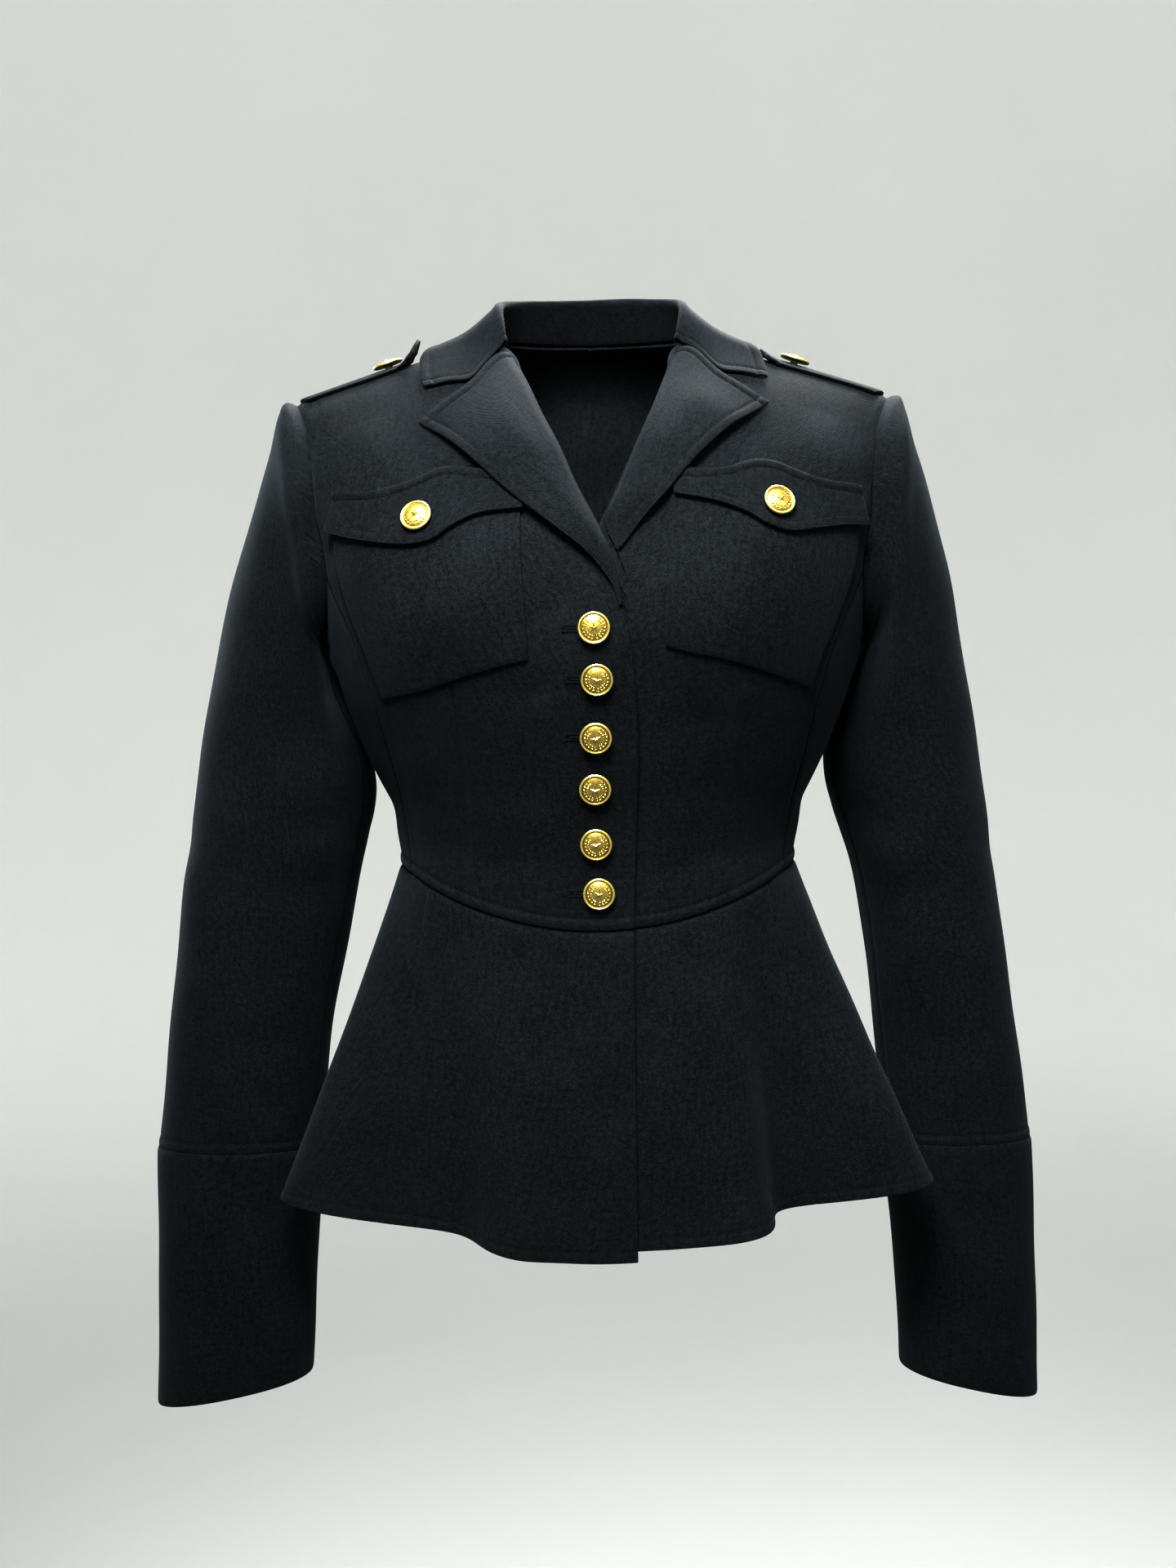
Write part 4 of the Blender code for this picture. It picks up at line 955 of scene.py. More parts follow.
def strap_surface(side):
    """A shoulder strap from its pointed neck end to the sleeve seam; v runs from the front edge back."""
    def on_shoulder(u, v):
        width = STRAP_HALF.at(u)["half"]
        place = 2.0 * v - 1.0
        end = STRAP_NECK_END + STRAP_POINT * place * place
        across = mix(end, STRAP_SLEEVE_END - STRAP_SLEEVE_CURVE * place * place, u ** STRAP_CROWDING)
        y = STRAP_MIDDLE_Y + place * width
        return np.array((across, y, over_shoulder(across, y)))

    def lift(u, v):
        held = 1.0 - u ** STRAP_CROWDING / STRAP_CURL_REACH
        curl = STRAP_CURL[side] * max(held, 0.0) ** STRAP_CURL_POWER
        return LAID_ON + STRAP_WALL + curl * (1.0 - STRAP_EDGE_SINK * (2.0 * v - 1.0) ** 2)
    return raised(on_shoulder, lift)


# Buttons

FRONT_BUTTONS = (
    (-0.0009, -0.1815), (0.0006, -0.2123), (-0.0005, -0.2474),
    (-0.0012, -0.2789), (-0.0010, -0.3133), (0.0004, -0.3442),
)
POCKET_BUTTONS = {RIGHT: (0.1056, -0.1162), LEFT: (0.1107, -0.1094)}
STRAP_BUTTON = 0.40


def front_place(side, across, height, lift):
    """A point and its normal on a front, moved out by lift."""
    point, normal = front_frame(side, across, height)
    flip = np.array((side, 1.0, 1.0))
    return (point + normal * lift) * flip, normal * flip


# Skins: the outer side of each cut piece as a fine grid

SKIN_EDGES = ("left", "right", "bottom", "top")
# Distances from an edge of the rows that lie close beside it
PLAIN = (0.0, 0.0010, 0.0022, 0.0038)
SEWN = (0.0, 0.0010, 0.0024, 0.0040, 0.0053, 0.0062, 0.0068, 0.0075, 0.0086, 0.0104)
# Space between rows elsewhere, and the distance of the stitches from an edge
STEP = 0.0036
FINE_STEP = 0.0024
STITCH_IN = 0.0067


def smooth_at(values, shares):
    """Values at even shares, read at other shares on a smooth curve through them."""
    count = len(values) - 1
    slopes = np.gradient(values, axis=0, edge_order=2)
    place = np.clip(shares, 0.0, 1.0) * count
    low = np.minimum(place.astype(int), count - 1)
    t = (place - low).reshape((-1,) + (1,) * (values.ndim - 1))
    start = values[low] * (1 + 2 * t) * (1 - t) ** 2 + slopes[low] * t * (1 - t) ** 2
    return start + values[low + 1] * t * t * (3 - 2 * t) - slopes[low + 1] * t * t * (1 - t)


def lengths_along(lines):
    """Distances along lines of points, from the first point of each."""
    spans = np.linalg.norm(np.diff(lines, axis=1), axis=2)
    return np.concatenate((np.zeros((len(lines), 1)), np.cumsum(spans, axis=1)), axis=1)


def read_along(place, distance, rows):
    """Rows of values, read at one distance along them."""
    return np.array([np.interp(place, distance, rows[:, axis]) for axis in range(rows.shape[1])])


def spread(lines, low, high, step):
    """Lines of points, read again at set distances from both ends and evenly between them."""
    along = lengths_along(lines)
    low, high = np.array(low), np.array(high)
    inner = max(2, round((along[:, -1].max() - low[-1] - high[-1]) / step))
    shares = np.linspace(0.0, 1.0, lines.shape[1])
    made = []
    for line, distance in zip(lines, along):
        length = distance[-1]
        squeeze = min(1.0, length / (3.0 * (low[-1] + high[-1])))
        middle = np.linspace(low[-1] * squeeze, length - high[-1] * squeeze, inner + 1)[1:-1]
        places = np.concatenate((low * squeeze, middle, length - high[::-1] * squeeze))
        made.append(smooth_at(line, np.interp(places, distance, shares)))
    return np.array(made)


def unit_rows(vectors):
    return vectors / np.maximum(np.linalg.norm(vectors, axis=-1, keepdims=True), 1e-12)


class Skin:
    """The outer side of a piece, with each point's distance from the left, right, bottom and top edges."""

    def __init__(self, surface, columns, rows, stops, step):
        coarse = np.array([
            [surface(i / columns, j / rows) for i in range(columns + 1)] for j in range(rows + 1)
        ])
        left, right, bottom, top = stops
        across = spread(coarse, left, right, step)
        self.points = spread(across.swapaxes(0, 1), bottom, top, step).swapaxes(0, 1)
        self.measure()

    def measure(self):
        across = lengths_along(self.points)
        up = lengths_along(self.points.swapaxes(0, 1)).T
        self.left, self.right = across, across[:, -1:] - across
        self.bottom, self.top = up, up[-1:] - up
        along_u = np.gradient(self.points, axis=1)
        along_v = np.gradient(self.points, axis=0)
        self.out = unit_rows(np.cross(along_u, along_v))

    def lift(self, height):
        """Moves every point out by its own height."""
        self.points = self.points + self.out * np.asarray(height)[..., None]
        self.measure()

    def tuck(self, reaches):
        """Carries the left, right, bottom and top edges on, under the piece that each is sewn to."""
        for line, next_line, reach in (
            (np.s_[:, 0], np.s_[:, 1], reaches[0]), (np.s_[:, -1], np.s_[:, -2], reaches[1]),
            (np.s_[0], np.s_[1], reaches[2]), (np.s_[-1], np.s_[-2], reaches[3]),
        ):
            outwards = unit_rows(self.points[line] - self.points[next_line])
            self.points[line] = self.points[line] + outwards * reach

    def area(self):
        p = self.points
        first = np.cross(p[:-1, 1:] - p[:-1, :-1], p[1:, 1:] - p[:-1, :-1])
        second = np.cross(p[1:, 1:] - p[:-1, :-1], p[1:, :-1] - p[:-1, :-1])
        return float((np.linalg.norm(first, axis=2) + np.linalg.norm(second, axis=2)).sum() / 2)

    def run(self, edge, inset):
        """Points and outward directions along an edge, at a distance in from it."""
        distance = getattr(self, edge)
        points, out = self.points, self.out
        if edge in ("bottom", "top"):
            distance, points, out = distance.T, points.swapaxes(0, 1), out.swapaxes(0, 1)
        if edge in ("right", "top"):
            distance, points, out = distance[:, ::-1], points[:, ::-1], out[:, ::-1]
        return [
            np.array([read_along(inset, gap, line) for gap, line in zip(distance, source)])
            for source in (points, out)
        ]


# Edges and seams

# Each kind of edge: rows set close beside it, the height of its puff up to the stitch line, its furrows by
# place, depth and half width (a negative depth is a ridge), whether stitches show, and its turning under
Edge = namedtuple("Edge", "rows puff furrows stitched under")
PUFF_POWER = 0.8
EDGES = {
    "seam": Edge(PLAIN, 0.0, ((0.0, 0.0008, 0.0016),), False, 0.0005),
    "armhole": Edge(PLAIN, 0.0, ((0.0, 0.0013, 0.0022), (0.0090, 0.0006, 0.0060)), False, 0.0004),
    "head": Edge(SEWN, 0.0, ((0.0, 0.0012, 0.0016), (0.0065, -0.0016, 0.0045)), False, 0.0018),
    "waist": Edge(SEWN, 0.0006, ((STITCH_IN + 0.0002, 0.0004, 0.0012),), True, 0.0004),
    "under_waist": Edge(PLAIN, 0.0, ((0.0, 0.0014, 0.0024),), False, 0.0012),
    "sewn": Edge(SEWN, 0.0004, ((STITCH_IN, 0.0004, 0.0011),), True, 0.0),
    "band": Edge(SEWN, 0.0010, ((STITCH_IN + 0.0003, 0.0006, 0.0009),), True, 0.0),
    "soft": Edge(PLAIN, 0.0, ((0.0, 0.0004, 0.0016),), False, 0.0),
    "rolled": Edge(PLAIN, 0.0, ((0.0, 0.0014, 0.0040),), False, 0.0),
    "lip": Edge(SEWN, 0.0002, ((STITCH_IN, 0.0002, 0.0011), (0.0, -0.0012, 0.0120)), True, 0.0),
    "tip": Edge(PLAIN, 0.0, ((0.0, 0.0013, 0.0040),), False, 0.0),
    "hem": Edge(SEWN, 0.00018, ((STITCH_IN, 0.0003, 0.0012),), True, 0.0),
    "foot": Edge(SEWN, 0.0005, ((STITCH_IN, 0.0003, 0.0012),), True, 0.0),
}


def relief(edge, distance):
    """Height of an edge's puff and furrows at distances from it."""
    height = edge.puff * np.sin(np.pi * np.clip(distance / STITCH_IN, 0.0, 1.0)) ** PUFF_POWER
    for place, depth, width in edge.furrows:
        height = height - depth * np.exp(-(((distance - place) / width) ** 2))
    return height


# Each cut: its coarse columns and rows, then its edges at u 0 and 1 on the left side, bottom and top
CUTS = {
    "front": (24, 36, ("sewn", "armhole", "waist", "seam")),
    "side": (14, 20, ("seam", "seam", "waist", "armhole")),
    "back": (22, 36, ("armhole", "seam", "waist", "seam")),
    "peplum_front": (40, 14, ("sewn", "seam", "hem", "under_waist")),
    "peplum_side": (40, 14, ("seam", "seam", "hem", "under_waist")),
    "sleeve_upper": (30, 46, ("seam", "seam", "foot", "head")),
    "sleeve_under": (14, 46, ("seam", "seam", "foot", "head")),
    "cuff": (50, 10, ("seam", "seam", "soft", "seam")),
    "lapel": (14, 30, ("rolled", "sewn", "tip", "sewn")),
    "pocket": (18, 16, ("soft", "soft", "soft", "soft")),
    "flap": (28, 8, ("soft", "soft", "lip", "band")),
    "epaulette": (24, 10, ("sewn", "soft", "sewn", "sewn")),
    "peplum_back": (60, 14, ("seam", "seam", "hem", "under_waist")),
    "collar": (80, 28, ("sewn", "sewn", "soft", "sewn")),
}


# Creases

CREASE_ENDS = 0.02


def crease(skin, view, height, width, line):
    """A ridge, or a trough where the height is negative, along a line; it fades at its ends."""
    axes, facing = view
    places = skin.points[..., axes]
    spans = np.linalg.norm(np.diff(line, axis=0), axis=1)
    starts = np.concatenate(([0.0], np.cumsum(spans)))
    nearest = np.full(places.shape[:2], np.inf)
    share = np.zeros(places.shape[:2])
    for index, span in enumerate(spans):
        direction = (line[index + 1] - line[index]) / span
        reach = np.clip((places - line[index]) @ direction, 0.0, span)
        gap = np.linalg.norm(places - line[index] - reach[..., None] * direction, axis=2)
        nearer = gap < nearest
        nearest = np.where(nearer, gap, nearest)
        share = np.where(nearer, (starts[index] + reach) / starts[-1], share)
    turned = skin.out @ np.array(facing)
    fade = np.sin(np.pi * np.clip(share, CREASE_ENDS, 1.0 - CREASE_ENDS)) ** 0.6
    return height * np.exp(-((nearest / width) ** 2)) * fade * np.clip(turned * 2.0, 0.0, 1.0)


# Views that creases are drawn in: the two axes of the view, and the way that the cloth faces
FRONT_VIEW = ((0, 2), (0.0, -1.0, 0.0))
BACK_VIEW = ((0, 2), (0.0, 1.0, 0.0))
RIGHT_VIEW = ((1, 2), (-1.0, 0.0, 0.0))
LEFT_VIEW = ((1, 2), (1.0, 0.0, 0.0))
MM = 0.001

# Where each sleeve leans to the waist: drawn as seen from the front, on its side towards the waist
RIGHT_ARM_REST = (((0, 2), (1.0, 0.0, 0.0)), 2.8, 30, (-172, -180), (-162, -230), (-150, -260), (-145, -315))
LEFT_ARM_REST = (((0, 2), (-1.0, 0.0, 0.0)), 2.6, 30, (172, -180), (162, -230), (151, -260), (150, -300))

# Creases by piece, in millimetres: the view, the height, half the width, and the places along the line
CREASES = {
    "front_right": (
        (FRONT_VIEW, -1.6, 3.2, (-88.4, -211.7), (-83.4, -245.8), (-81.8, -276.3), (-81.1, -333.2),
         (-82.4, -345.9)),
        (FRONT_VIEW, -1.2, 9, (-170, -90), (-158, -104), (-140, -113)),
        (FRONT_VIEW, -1, 8, (-16, -165), (-33, -172), (-56, -184)),
        (FRONT_VIEW, -0.8, 8, (-15, -212), (-42, -221), (-72, -218)),
        (FRONT_VIEW, 0.9, 10, (-20, -295), (-50, -299), (-90, -292)),
        (FRONT_VIEW, -0.9, 9, (-30, -323), (-64, -327), (-108, -313)),
        (FRONT_VIEW, 1, 12, (-145, -52), (-136, -75), (-132, -90)),
    ),
    "front_left": (
        (FRONT_VIEW, -1.6, 3.2, (95.3, -208.1), (94.5, -228), (91.7, -248.1), (89.9, -274.6),
         (87.7, -313.7), (87, -345.3)),
        (FRONT_VIEW, -1.2, 9, (174, -88), (160, -98), (145, -104)),
        (FRONT_VIEW, -1, 9, (26, -156), (38, -170), (48, -186)),
        (FRONT_VIEW, -0.8, 9, (26, -245), (56, -239), (86, -242)),
        (FRONT_VIEW, 0.9, 10, (26, -301), (60, -296), (98, -300)),
        (FRONT_VIEW, -1, 9, (30, -330), (70, -324), (109, -318)),
        (FRONT_VIEW, 1, 12, (148, -50), (142, -70), (140, -86)),
    ),
    "side_right": (
        (RIGHT_VIEW, -1, 8, (-125, -290), (-90, -298), (-55, -288)),
        (RIGHT_VIEW, 1, 9, (-120, -311), (-85, -316), (-50, -306)),
        (RIGHT_VIEW, -1.2, 8, (-110, -206), (-85, -225), (-60, -238)),
    ),
    "side_left": (
        (LEFT_VIEW, -1, 8, (-120, -296), (-88, -290), (-56, -296)),
        (LEFT_VIEW, 1, 9, (-120, -316), (-86, -309), (-50, -315)),
        (LEFT_VIEW, -1.2, 8, (-112, -210), (-88, -223), (-62, -233)),
    ),
    "back_right": (
        (BACK_VIEW, -1.4, 10, (-8, -288), (-50, -295), (-96, -282)),
        (BACK_VIEW, 1.2, 10, (-10, -312), (-50, -318), (-98, -306)),
        (BACK_VIEW, -1.6, 14, (-152, -140), (-135, -175), (-110, -212)),
        (BACK_VIEW, -1, 11, (-162, -85), (-135, -95), (-100, -93)),
    ),
    "back_left": (
        (BACK_VIEW, -1.3, 10, (10, -292), (52, -297), (94, -289)),
        (BACK_VIEW, 1.2, 11, (8, -315), (48, -319), (96, -312)),
        (BACK_VIEW, -1.5, 15, (150, -136), (130, -172), (108, -205)),
        (BACK_VIEW, -1, 12, (160, -82), (136, -90), (104, -90)),
    ),
    "sleeve_under_right": (RIGHT_ARM_REST,),
    "sleeve_under_left": (LEFT_ARM_REST,),
    "sleeve_upper_right": (
        RIGHT_ARM_REST,
        (FRONT_VIEW, 3.4, 4.8, (-195, -46), (-190.6, -74.1), (-187.4, -106.7), (-182.6, -149),
         (-177.8, -188.3), (-175, -250)),
        (FRONT_VIEW, -2.6, 7, (-182, -76), (-178, -110), (-172, -150), (-168, -195), (-164, -245)),
        (FRONT_VIEW, -1.4, 12, (-156, -290), (-176, -305), (-198, -306)),
        (FRONT_VIEW, -0.8, 11, (-160, -342), (-182, -348), (-212, -340)),
        (FRONT_VIEW, 1, 13, (-160, -318), (-185, -326), (-216, -322)),
        (FRONT_VIEW, -1.2, 14, (-190, -430), (-215, -448), (-245, -452)),
        (BACK_VIEW, -3, 13, (-170, -280), (-205, -296), (-240, -290)),
        (BACK_VIEW, 2.4, 12, (-172, -306), (-206, -320), (-244, -314)),
        (BACK_VIEW, -2, 12, (-175, -338), (-210, -348), (-248, -340)),
        (RIGHT_VIEW, -1.2, 14, (-105, -310), (-65, -324), (-30, -318)),
    ),
    "sleeve_upper_left": (
        LEFT_ARM_REST,
        (FRONT_VIEW, 3.4, 4.8, (198, -44), (195.8, -82.4), (192.8, -122.5), (191.1, -164.7),
         (189, -201.5), (185, -250)),
        (FRONT_VIEW, -2.6, 7, (185, -76), (182, -110), (179, -150), (176, -195), (173, -235)),
        (FRONT_VIEW, -1.2, 12, (160, -296), (180, -308), (202, -306)),
        (FRONT_VIEW, -0.8, 12, (170, -350), (192, -358), (220, -352)),
        (FRONT_VIEW, 0.9, 13, (166, -324), (188, -333), (218, -330)),
        (FRONT_VIEW, -1.2, 15, (190, -440), (215, -452), (240, -448)),
        (BACK_VIEW, -2.8, 13, (170, -286), (202, -302), (234, -298)),
        (BACK_VIEW, 2.4, 13, (174, -312), (206, -326), (240, -322)),
        (BACK_VIEW, -2, 13, (178, -344), (210, -356), (242, -348)),
        (LEFT_VIEW, -1.2, 15, (-105, -318), (-65, -330), (-30, -322)),
    ),
    "peplum_back": (
        (BACK_VIEW, 1.2, 12, (-30, -356), (-42, -420), (-52, -490)),
        (BACK_VIEW, 1.2, 12, (28, -356), (40, -425), (50, -495)),
    ),
}

# Slow unevenness of pressed cloth: half waves per metre along x, y and z, their turn, and height
UNEVEN = (
    ((21.0, 13.0, 9.0), 0.4, 0.00030),
    ((-13.0, 17.0, 24.0), 1.9, 0.00025),
    ((34.0, -22.0, 15.0), 3.1, 0.00015),
)


def unevenness(skin):
    height = 0.0
    for waves, turn, size in UNEVEN:
        height = height + size * np.sin(skin.points @ np.array(waves) * np.pi + turn)
    return height


# Finishes

class Wire:
    """A shader socket that joins in sums as a number does."""

    def __init__(self, finish, socket):
        self.finish = finish
        self.socket = socket

    def sum(self, operation, first, second):
        return self.finish.node("ShaderNodeMath", {"operation": operation}, {0: first, 1: second})

    def __add__(self, other):
        return self.sum("ADD", self, other)

    def __radd__(self, other):
        return self.sum("ADD", other, self)

    def __sub__(self, other):
        return self.sum("SUBTRACT", self, other)

    def __rsub__(self, other):
        return self.sum("SUBTRACT", other, self)

    def __mul__(self, other):
        return self.sum("MULTIPLY", self, other)

    def __rmul__(self, other):
        return self.sum("MULTIPLY", other, self)

    def sine(self):
        return self.finish.node("ShaderNodeMath", {"operation": "SINE"}, {0: self})


class Finish:
    """One material and its nodes."""

    def __init__(self, name):
        self.material = bpy.data.materials.new(name)
        self.material.use_nodes = True
        self.tree = self.material.node_tree
        self.shader = self.tree.nodes["Principled BSDF"]

    def plug(self, socket, value):
        if isinstance(value, Wire):
            self.tree.links.new(value.socket, socket)
        else:
            socket.default_value = value

    def node(self, kind, settings=None, inputs=None, output=0):
        """Any node: its settings first, then the values or links of its sockets."""
        made = self.tree.nodes.new(kind)
        for name, value in (settings or {}).items():
            setattr(made, name, value)
        for name, value in (inputs or {}).items():
            self.plug(made.inputs[name], value)
        return Wire(self, made.outputs[output])

    def steps(self, wire, *stops):
        """A grey ramp with stops of place and value."""
        ramp = self.node("ShaderNodeValToRGB", None, {"Fac": wire})
        elements = ramp.socket.node.color_ramp.elements
        while len(elements) < len(stops):
            elements.new(0.5)
        for element, (place, value) in zip(elements, stops):
            element.position = place
            element.color = (value, value, value, 1.0)
        return ramp

    def noise(self, place, scale, detail=2.0, roughness=0.5):
        return self.node("ShaderNodeTexNoise", None, {
            "Vector": place, "Scale": scale, "Detail": detail, "Roughness": roughness,
        })

    def blend(self, share, first, second):
        """A colour between two others."""
        return self.node("ShaderNodeMix", {"data_type": "RGBA"}, {0: share, 6: first, 7: second}, 2)

    def feed(self, **values):
        """Sets or links the shader's own sockets."""
        for name, value in values.items():
            self.plug(self.shader.inputs[name.replace("_", " ")], value)

    def bump(self, height, distance, strength=1.0):
        self.feed(Normal=self.node("ShaderNodeBump", None, {
            "Strength": strength, "Distance": distance, "Height": height,
        }))


# Width of a diagonal rib of the twill, and the rate of the yarns that cross it
WALE = 0.00115
YARN_RATE = 1.6
CLOTH_DARK = (0.0012, 0.0018, 0.0022, 1.0)
CLOTH_LIGHT = (0.0098, 0.0120, 0.0136, 1.0)
LINT = (0.040, 0.046, 0.050, 1.0)
SHEEN_TINT = (0.75, 0.90, 1.0, 1.0)
NAP_DEPTH = 0.00022
THREAD_DARK = (0.0020, 0.0024, 0.0027, 1.0)
THREAD_LIGHT = (0.0090, 0.0100, 0.0110, 1.0)
FIBRE_DEPTH = 0.0001


def wool_twill():
    finish = Finish("charcoal_twill")
    cut = finish.node("ShaderNodeUVMap", {"uv_map": "cut"})
    place = finish.node("ShaderNodeTexCoord", None, None, "Object")
    wobble = finish.noise(cut, 260.0, 1.0)
    across = finish.node("ShaderNodeSeparateXYZ", None, {0: cut})
    up = Wire(finish, across.socket.node.outputs[1])
    wale = ((across + up) * (2.0 * math.pi / WALE / math.sqrt(2.0)) + wobble * 2.5).sine()
    yarn = ((across - up) * (2.0 * math.pi / WALE * YARN_RATE) + wobble * 3.0).sine()
    grain = finish.noise(cut, 900.0, 3.0, 0.65)
    nap = finish.noise(cut, 320.0, 4.0, 0.6)
    patches = finish.noise(place, 22.0, 3.0, 0.55)
    stretched = finish.node("ShaderNodeMapping", None, {"Vector": cut, "Scale": (1.0, 0.16, 1.0)})
    slub = finish.noise(stretched, 420.0, 2.0, 0.5)
    tone = nap * 1.8 + grain * 2.2 + patches * 0.7 + slub * 0.7 - 2.25 + wale * 0.06
    colour = finish.blend(tone, CLOTH_DARK, CLOTH_LIGHT)
    lint = finish.steps(finish.noise(cut, 1500.0, 1.0, 0.4), (0.70, 0.0), (0.78, 0.35))
    finish.feed(Base_Color=finish.blend(lint, colour, LINT))
    finish.feed(Roughness=0.74 + nap * 0.14 + wale * 0.02)
    finish.bump(wale * 0.30 + yarn * 0.12 + grain * 0.55 + nap * 0.50 + slub * 0.35, NAP_DEPTH, 0.75)
    finish.feed(Sheen_Weight=0.035, Sheen_Roughness=0.5, Sheen_Tint=SHEEN_TINT)
    finish.feed(Specular_IOR_Level=0.06)
    return finish.material


def thread_finish():
    finish = Finish("black_thread")
    place = finish.node("ShaderNodeTexCoord", None, None, "Object")
    fibre = finish.noise(place, 2400.0, 2.0, 0.6)
    finish.feed(Base_Color=finish.blend(fibre, THREAD_DARK, THREAD_LIGHT))
    finish.feed(Roughness=0.68 + fibre * 0.2)
    finish.feed(Specular_IOR_Level=0.12)
    finish.bump(fibre, FIBRE_DEPTH, 0.6)
    return finish.material


BRASS_LOW = (0.120, 0.072, 0.010, 1.0)
BRASS_HIGH = (0.750, 0.640, 0.235, 1.0)
BRUSHED_DEPTH = 0.00005


def brass_finish():
    finish = Finish("satin_brass")
    place = finish.node("ShaderNodeTexCoord", None, None, "Object")
    worn = finish.node("ShaderNodeAttribute", {"attribute_name": "relief"}, None, "Fac")
    cloud = finish.noise(place, 700.0, 3.0, 0.6)
    fine = finish.noise(place, 5200.0, 2.0, 0.5)
    held = finish.node("ShaderNodeClamp", None, {"Value": worn * 0.85 + cloud * 0.35 - 0.08})
    finish.feed(Base_Color=finish.blend(held, BRASS_LOW, BRASS_HIGH), Metallic=1.0)
    finish.feed(Roughness=0.42 - worn * 0.14 + cloud * 0.10)
    finish.bump(fine * 0.5 + cloud * 0.5, BRUSHED_DEPTH, 0.5)
    return finish.material


twill = wool_twill()
thread = thread_finish()
brass = brass_finish()


# Cloth pieces

# The bevel of a folded edge, as a share of the wall, and the least turn that counts as an edge
EDGE_ROUND = 0.36
EDGE_SEGMENTS = 3
EDGE_TURN = math.radians(50.0)
# The least share of its width times its length that a stated cut may have
LEAST_AREA = 0.31
# The width of a lapel from which its edges have their full relief
LAPEL_FULL = 0.026

THREAD_WIDTH = 0.00050
THREAD_RISE = 0.00042
STITCH_PITCH = 0.0031
STITCH_LENGTH = 0.0024
STITCH_OVER = 0.00004
STITCH_STOP = 0.0010
# Corners in the latest stitches past which they join the others
LATEST_FULL = 400


def placed(mesh, name):
    """An object for a finished mesh, riding on the jacket's one body."""
    piece = bpy.data.objects.new(name, mesh)
    scene.collection.objects.link(piece)
    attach(piece, "root")
    return piece


def cloth(name, skin, wall, held, rests_on):
    """A sheet on a skin: a grid laid on its points, given its thickness inwards."""
    rows, columns = skin.points.shape[:2]
    builder = bmesh.new()
    bmesh.ops.create_grid(builder, x_segments=columns - 1, y_segments=rows - 1, size=0.5)
    mesh = bpy.data.meshes.new(name + "_cloth")
    builder.to_mesh(mesh)
    builder.free()
    flat = np.zeros(len(mesh.vertices) * 3)
    mesh.vertices.foreach_get("co", flat)
    flat = flat.reshape(-1, 3)
    column = np.rint((flat[:, 0] + 0.5) * (columns - 1)).astype(int)
    row = np.rint((flat[:, 1] + 0.5) * (rows - 1)).astype(int)
    mesh.vertices.foreach_set("co", skin.points[row, column].ravel())
    corners = np.zeros(len(mesh.loops), dtype=int)
    mesh.loops.foreach_get("vertex_index", corners)
    cut = np.stack((skin.left[row, column], skin.bottom[row, column]), axis=1)
    while mesh.uv_layers:
        mesh.uv_layers.remove(mesh.uv_layers[0])
    mesh.uv_layers.new(name="cut").data.foreach_set("uv", cut[corners].ravel())
    mesh.update()
    mesh.shade_smooth()
    mesh.materials.append(twill)
    piece = placed(mesh, name + "_cloth")
    thick = piece.modifiers.new("Thickness", "SOLIDIFY")
    thick.thickness = wall
    thick.offset = -1.0
    fold = piece.modifiers.new("Folded edge", "BEVEL")
    fold.width = wall * EDGE_ROUND
    fold.segments = EDGE_SEGMENTS
    fold.limit_method = "ANGLE"
    fold.angle_limit = EDGE_TURN
    # On the straps alone, folds are kept from running into each other
    fold.use_clamp_overlap = name.startswith("epaulette")
    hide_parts(name)
    width, length = float(skin.right[:, 0].max()), float(skin.top[0].max())
    area = min(max(skin.area(), LEAST_AREA * width * length), width * length)
    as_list(rests_on)


class Sewing:
    """Stitches gathered in one mesh, each a short rounded length of thread."""

    def __init__(self):
        self.gathered = bmesh.new()
        self.latest = bmesh.new()

    def stitch(self, place, along, out, length, width=THREAD_WIDTH, rise=THREAD_RISE):
        side = np.cross(out, along)
        turn = Matrix((side * width / 2, out * rise / 2, along * length / 2)).transposed().to_4x4()
        turn.translation = Vector(place)
        bmesh.ops.create_uvsphere(self.latest, u_segments=6, v_segments=4, radius=1.0, matrix=turn)
        if len(self.latest.verts) > LATEST_FULL:
            self.gather()

    def gather(self):
        """Adds the latest stitches to the others; the operator is quick only on a small mesh."""
        mesh = bpy.data.meshes.new("latest")
        self.latest.to_mesh(mesh)
        self.gathered.from_mesh(mesh)
        bpy.data.meshes.remove(mesh)
        self.latest.free()
        self.latest = bmesh.new()

    def line(self, points, outs, ends):
        """Running stitches along a line of points, up to a distance from each of its ends."""
        distance = lengths_along(points[None])[0]
        length = STITCH_LENGTH
        for index in range(int((distance[-1] - sum(ends)) / STITCH_PITCH)):
            middle = ends[0] + (index + 0.5) * STITCH_PITCH
            behind, here, ahead = [
                read_along(place, distance, points) for place in (middle - length / 3, middle, middle + length / 3)
            ]
            out = unit(read_along(middle, distance, outs))
            along = unit(ahead - behind)
            out = unit(out - along * (out @ along))
            self.stitch(here + out * STITCH_OVER, along, out, length)

    def finished(self, name):
        self.gather()
        mesh = bpy.data.meshes.new(name)
        self.gathered.to_mesh(mesh)
        self.gathered.free()
        self.latest.free()
        mesh.shade_smooth()
        mesh.materials.append(thread)
        placed(mesh, name)


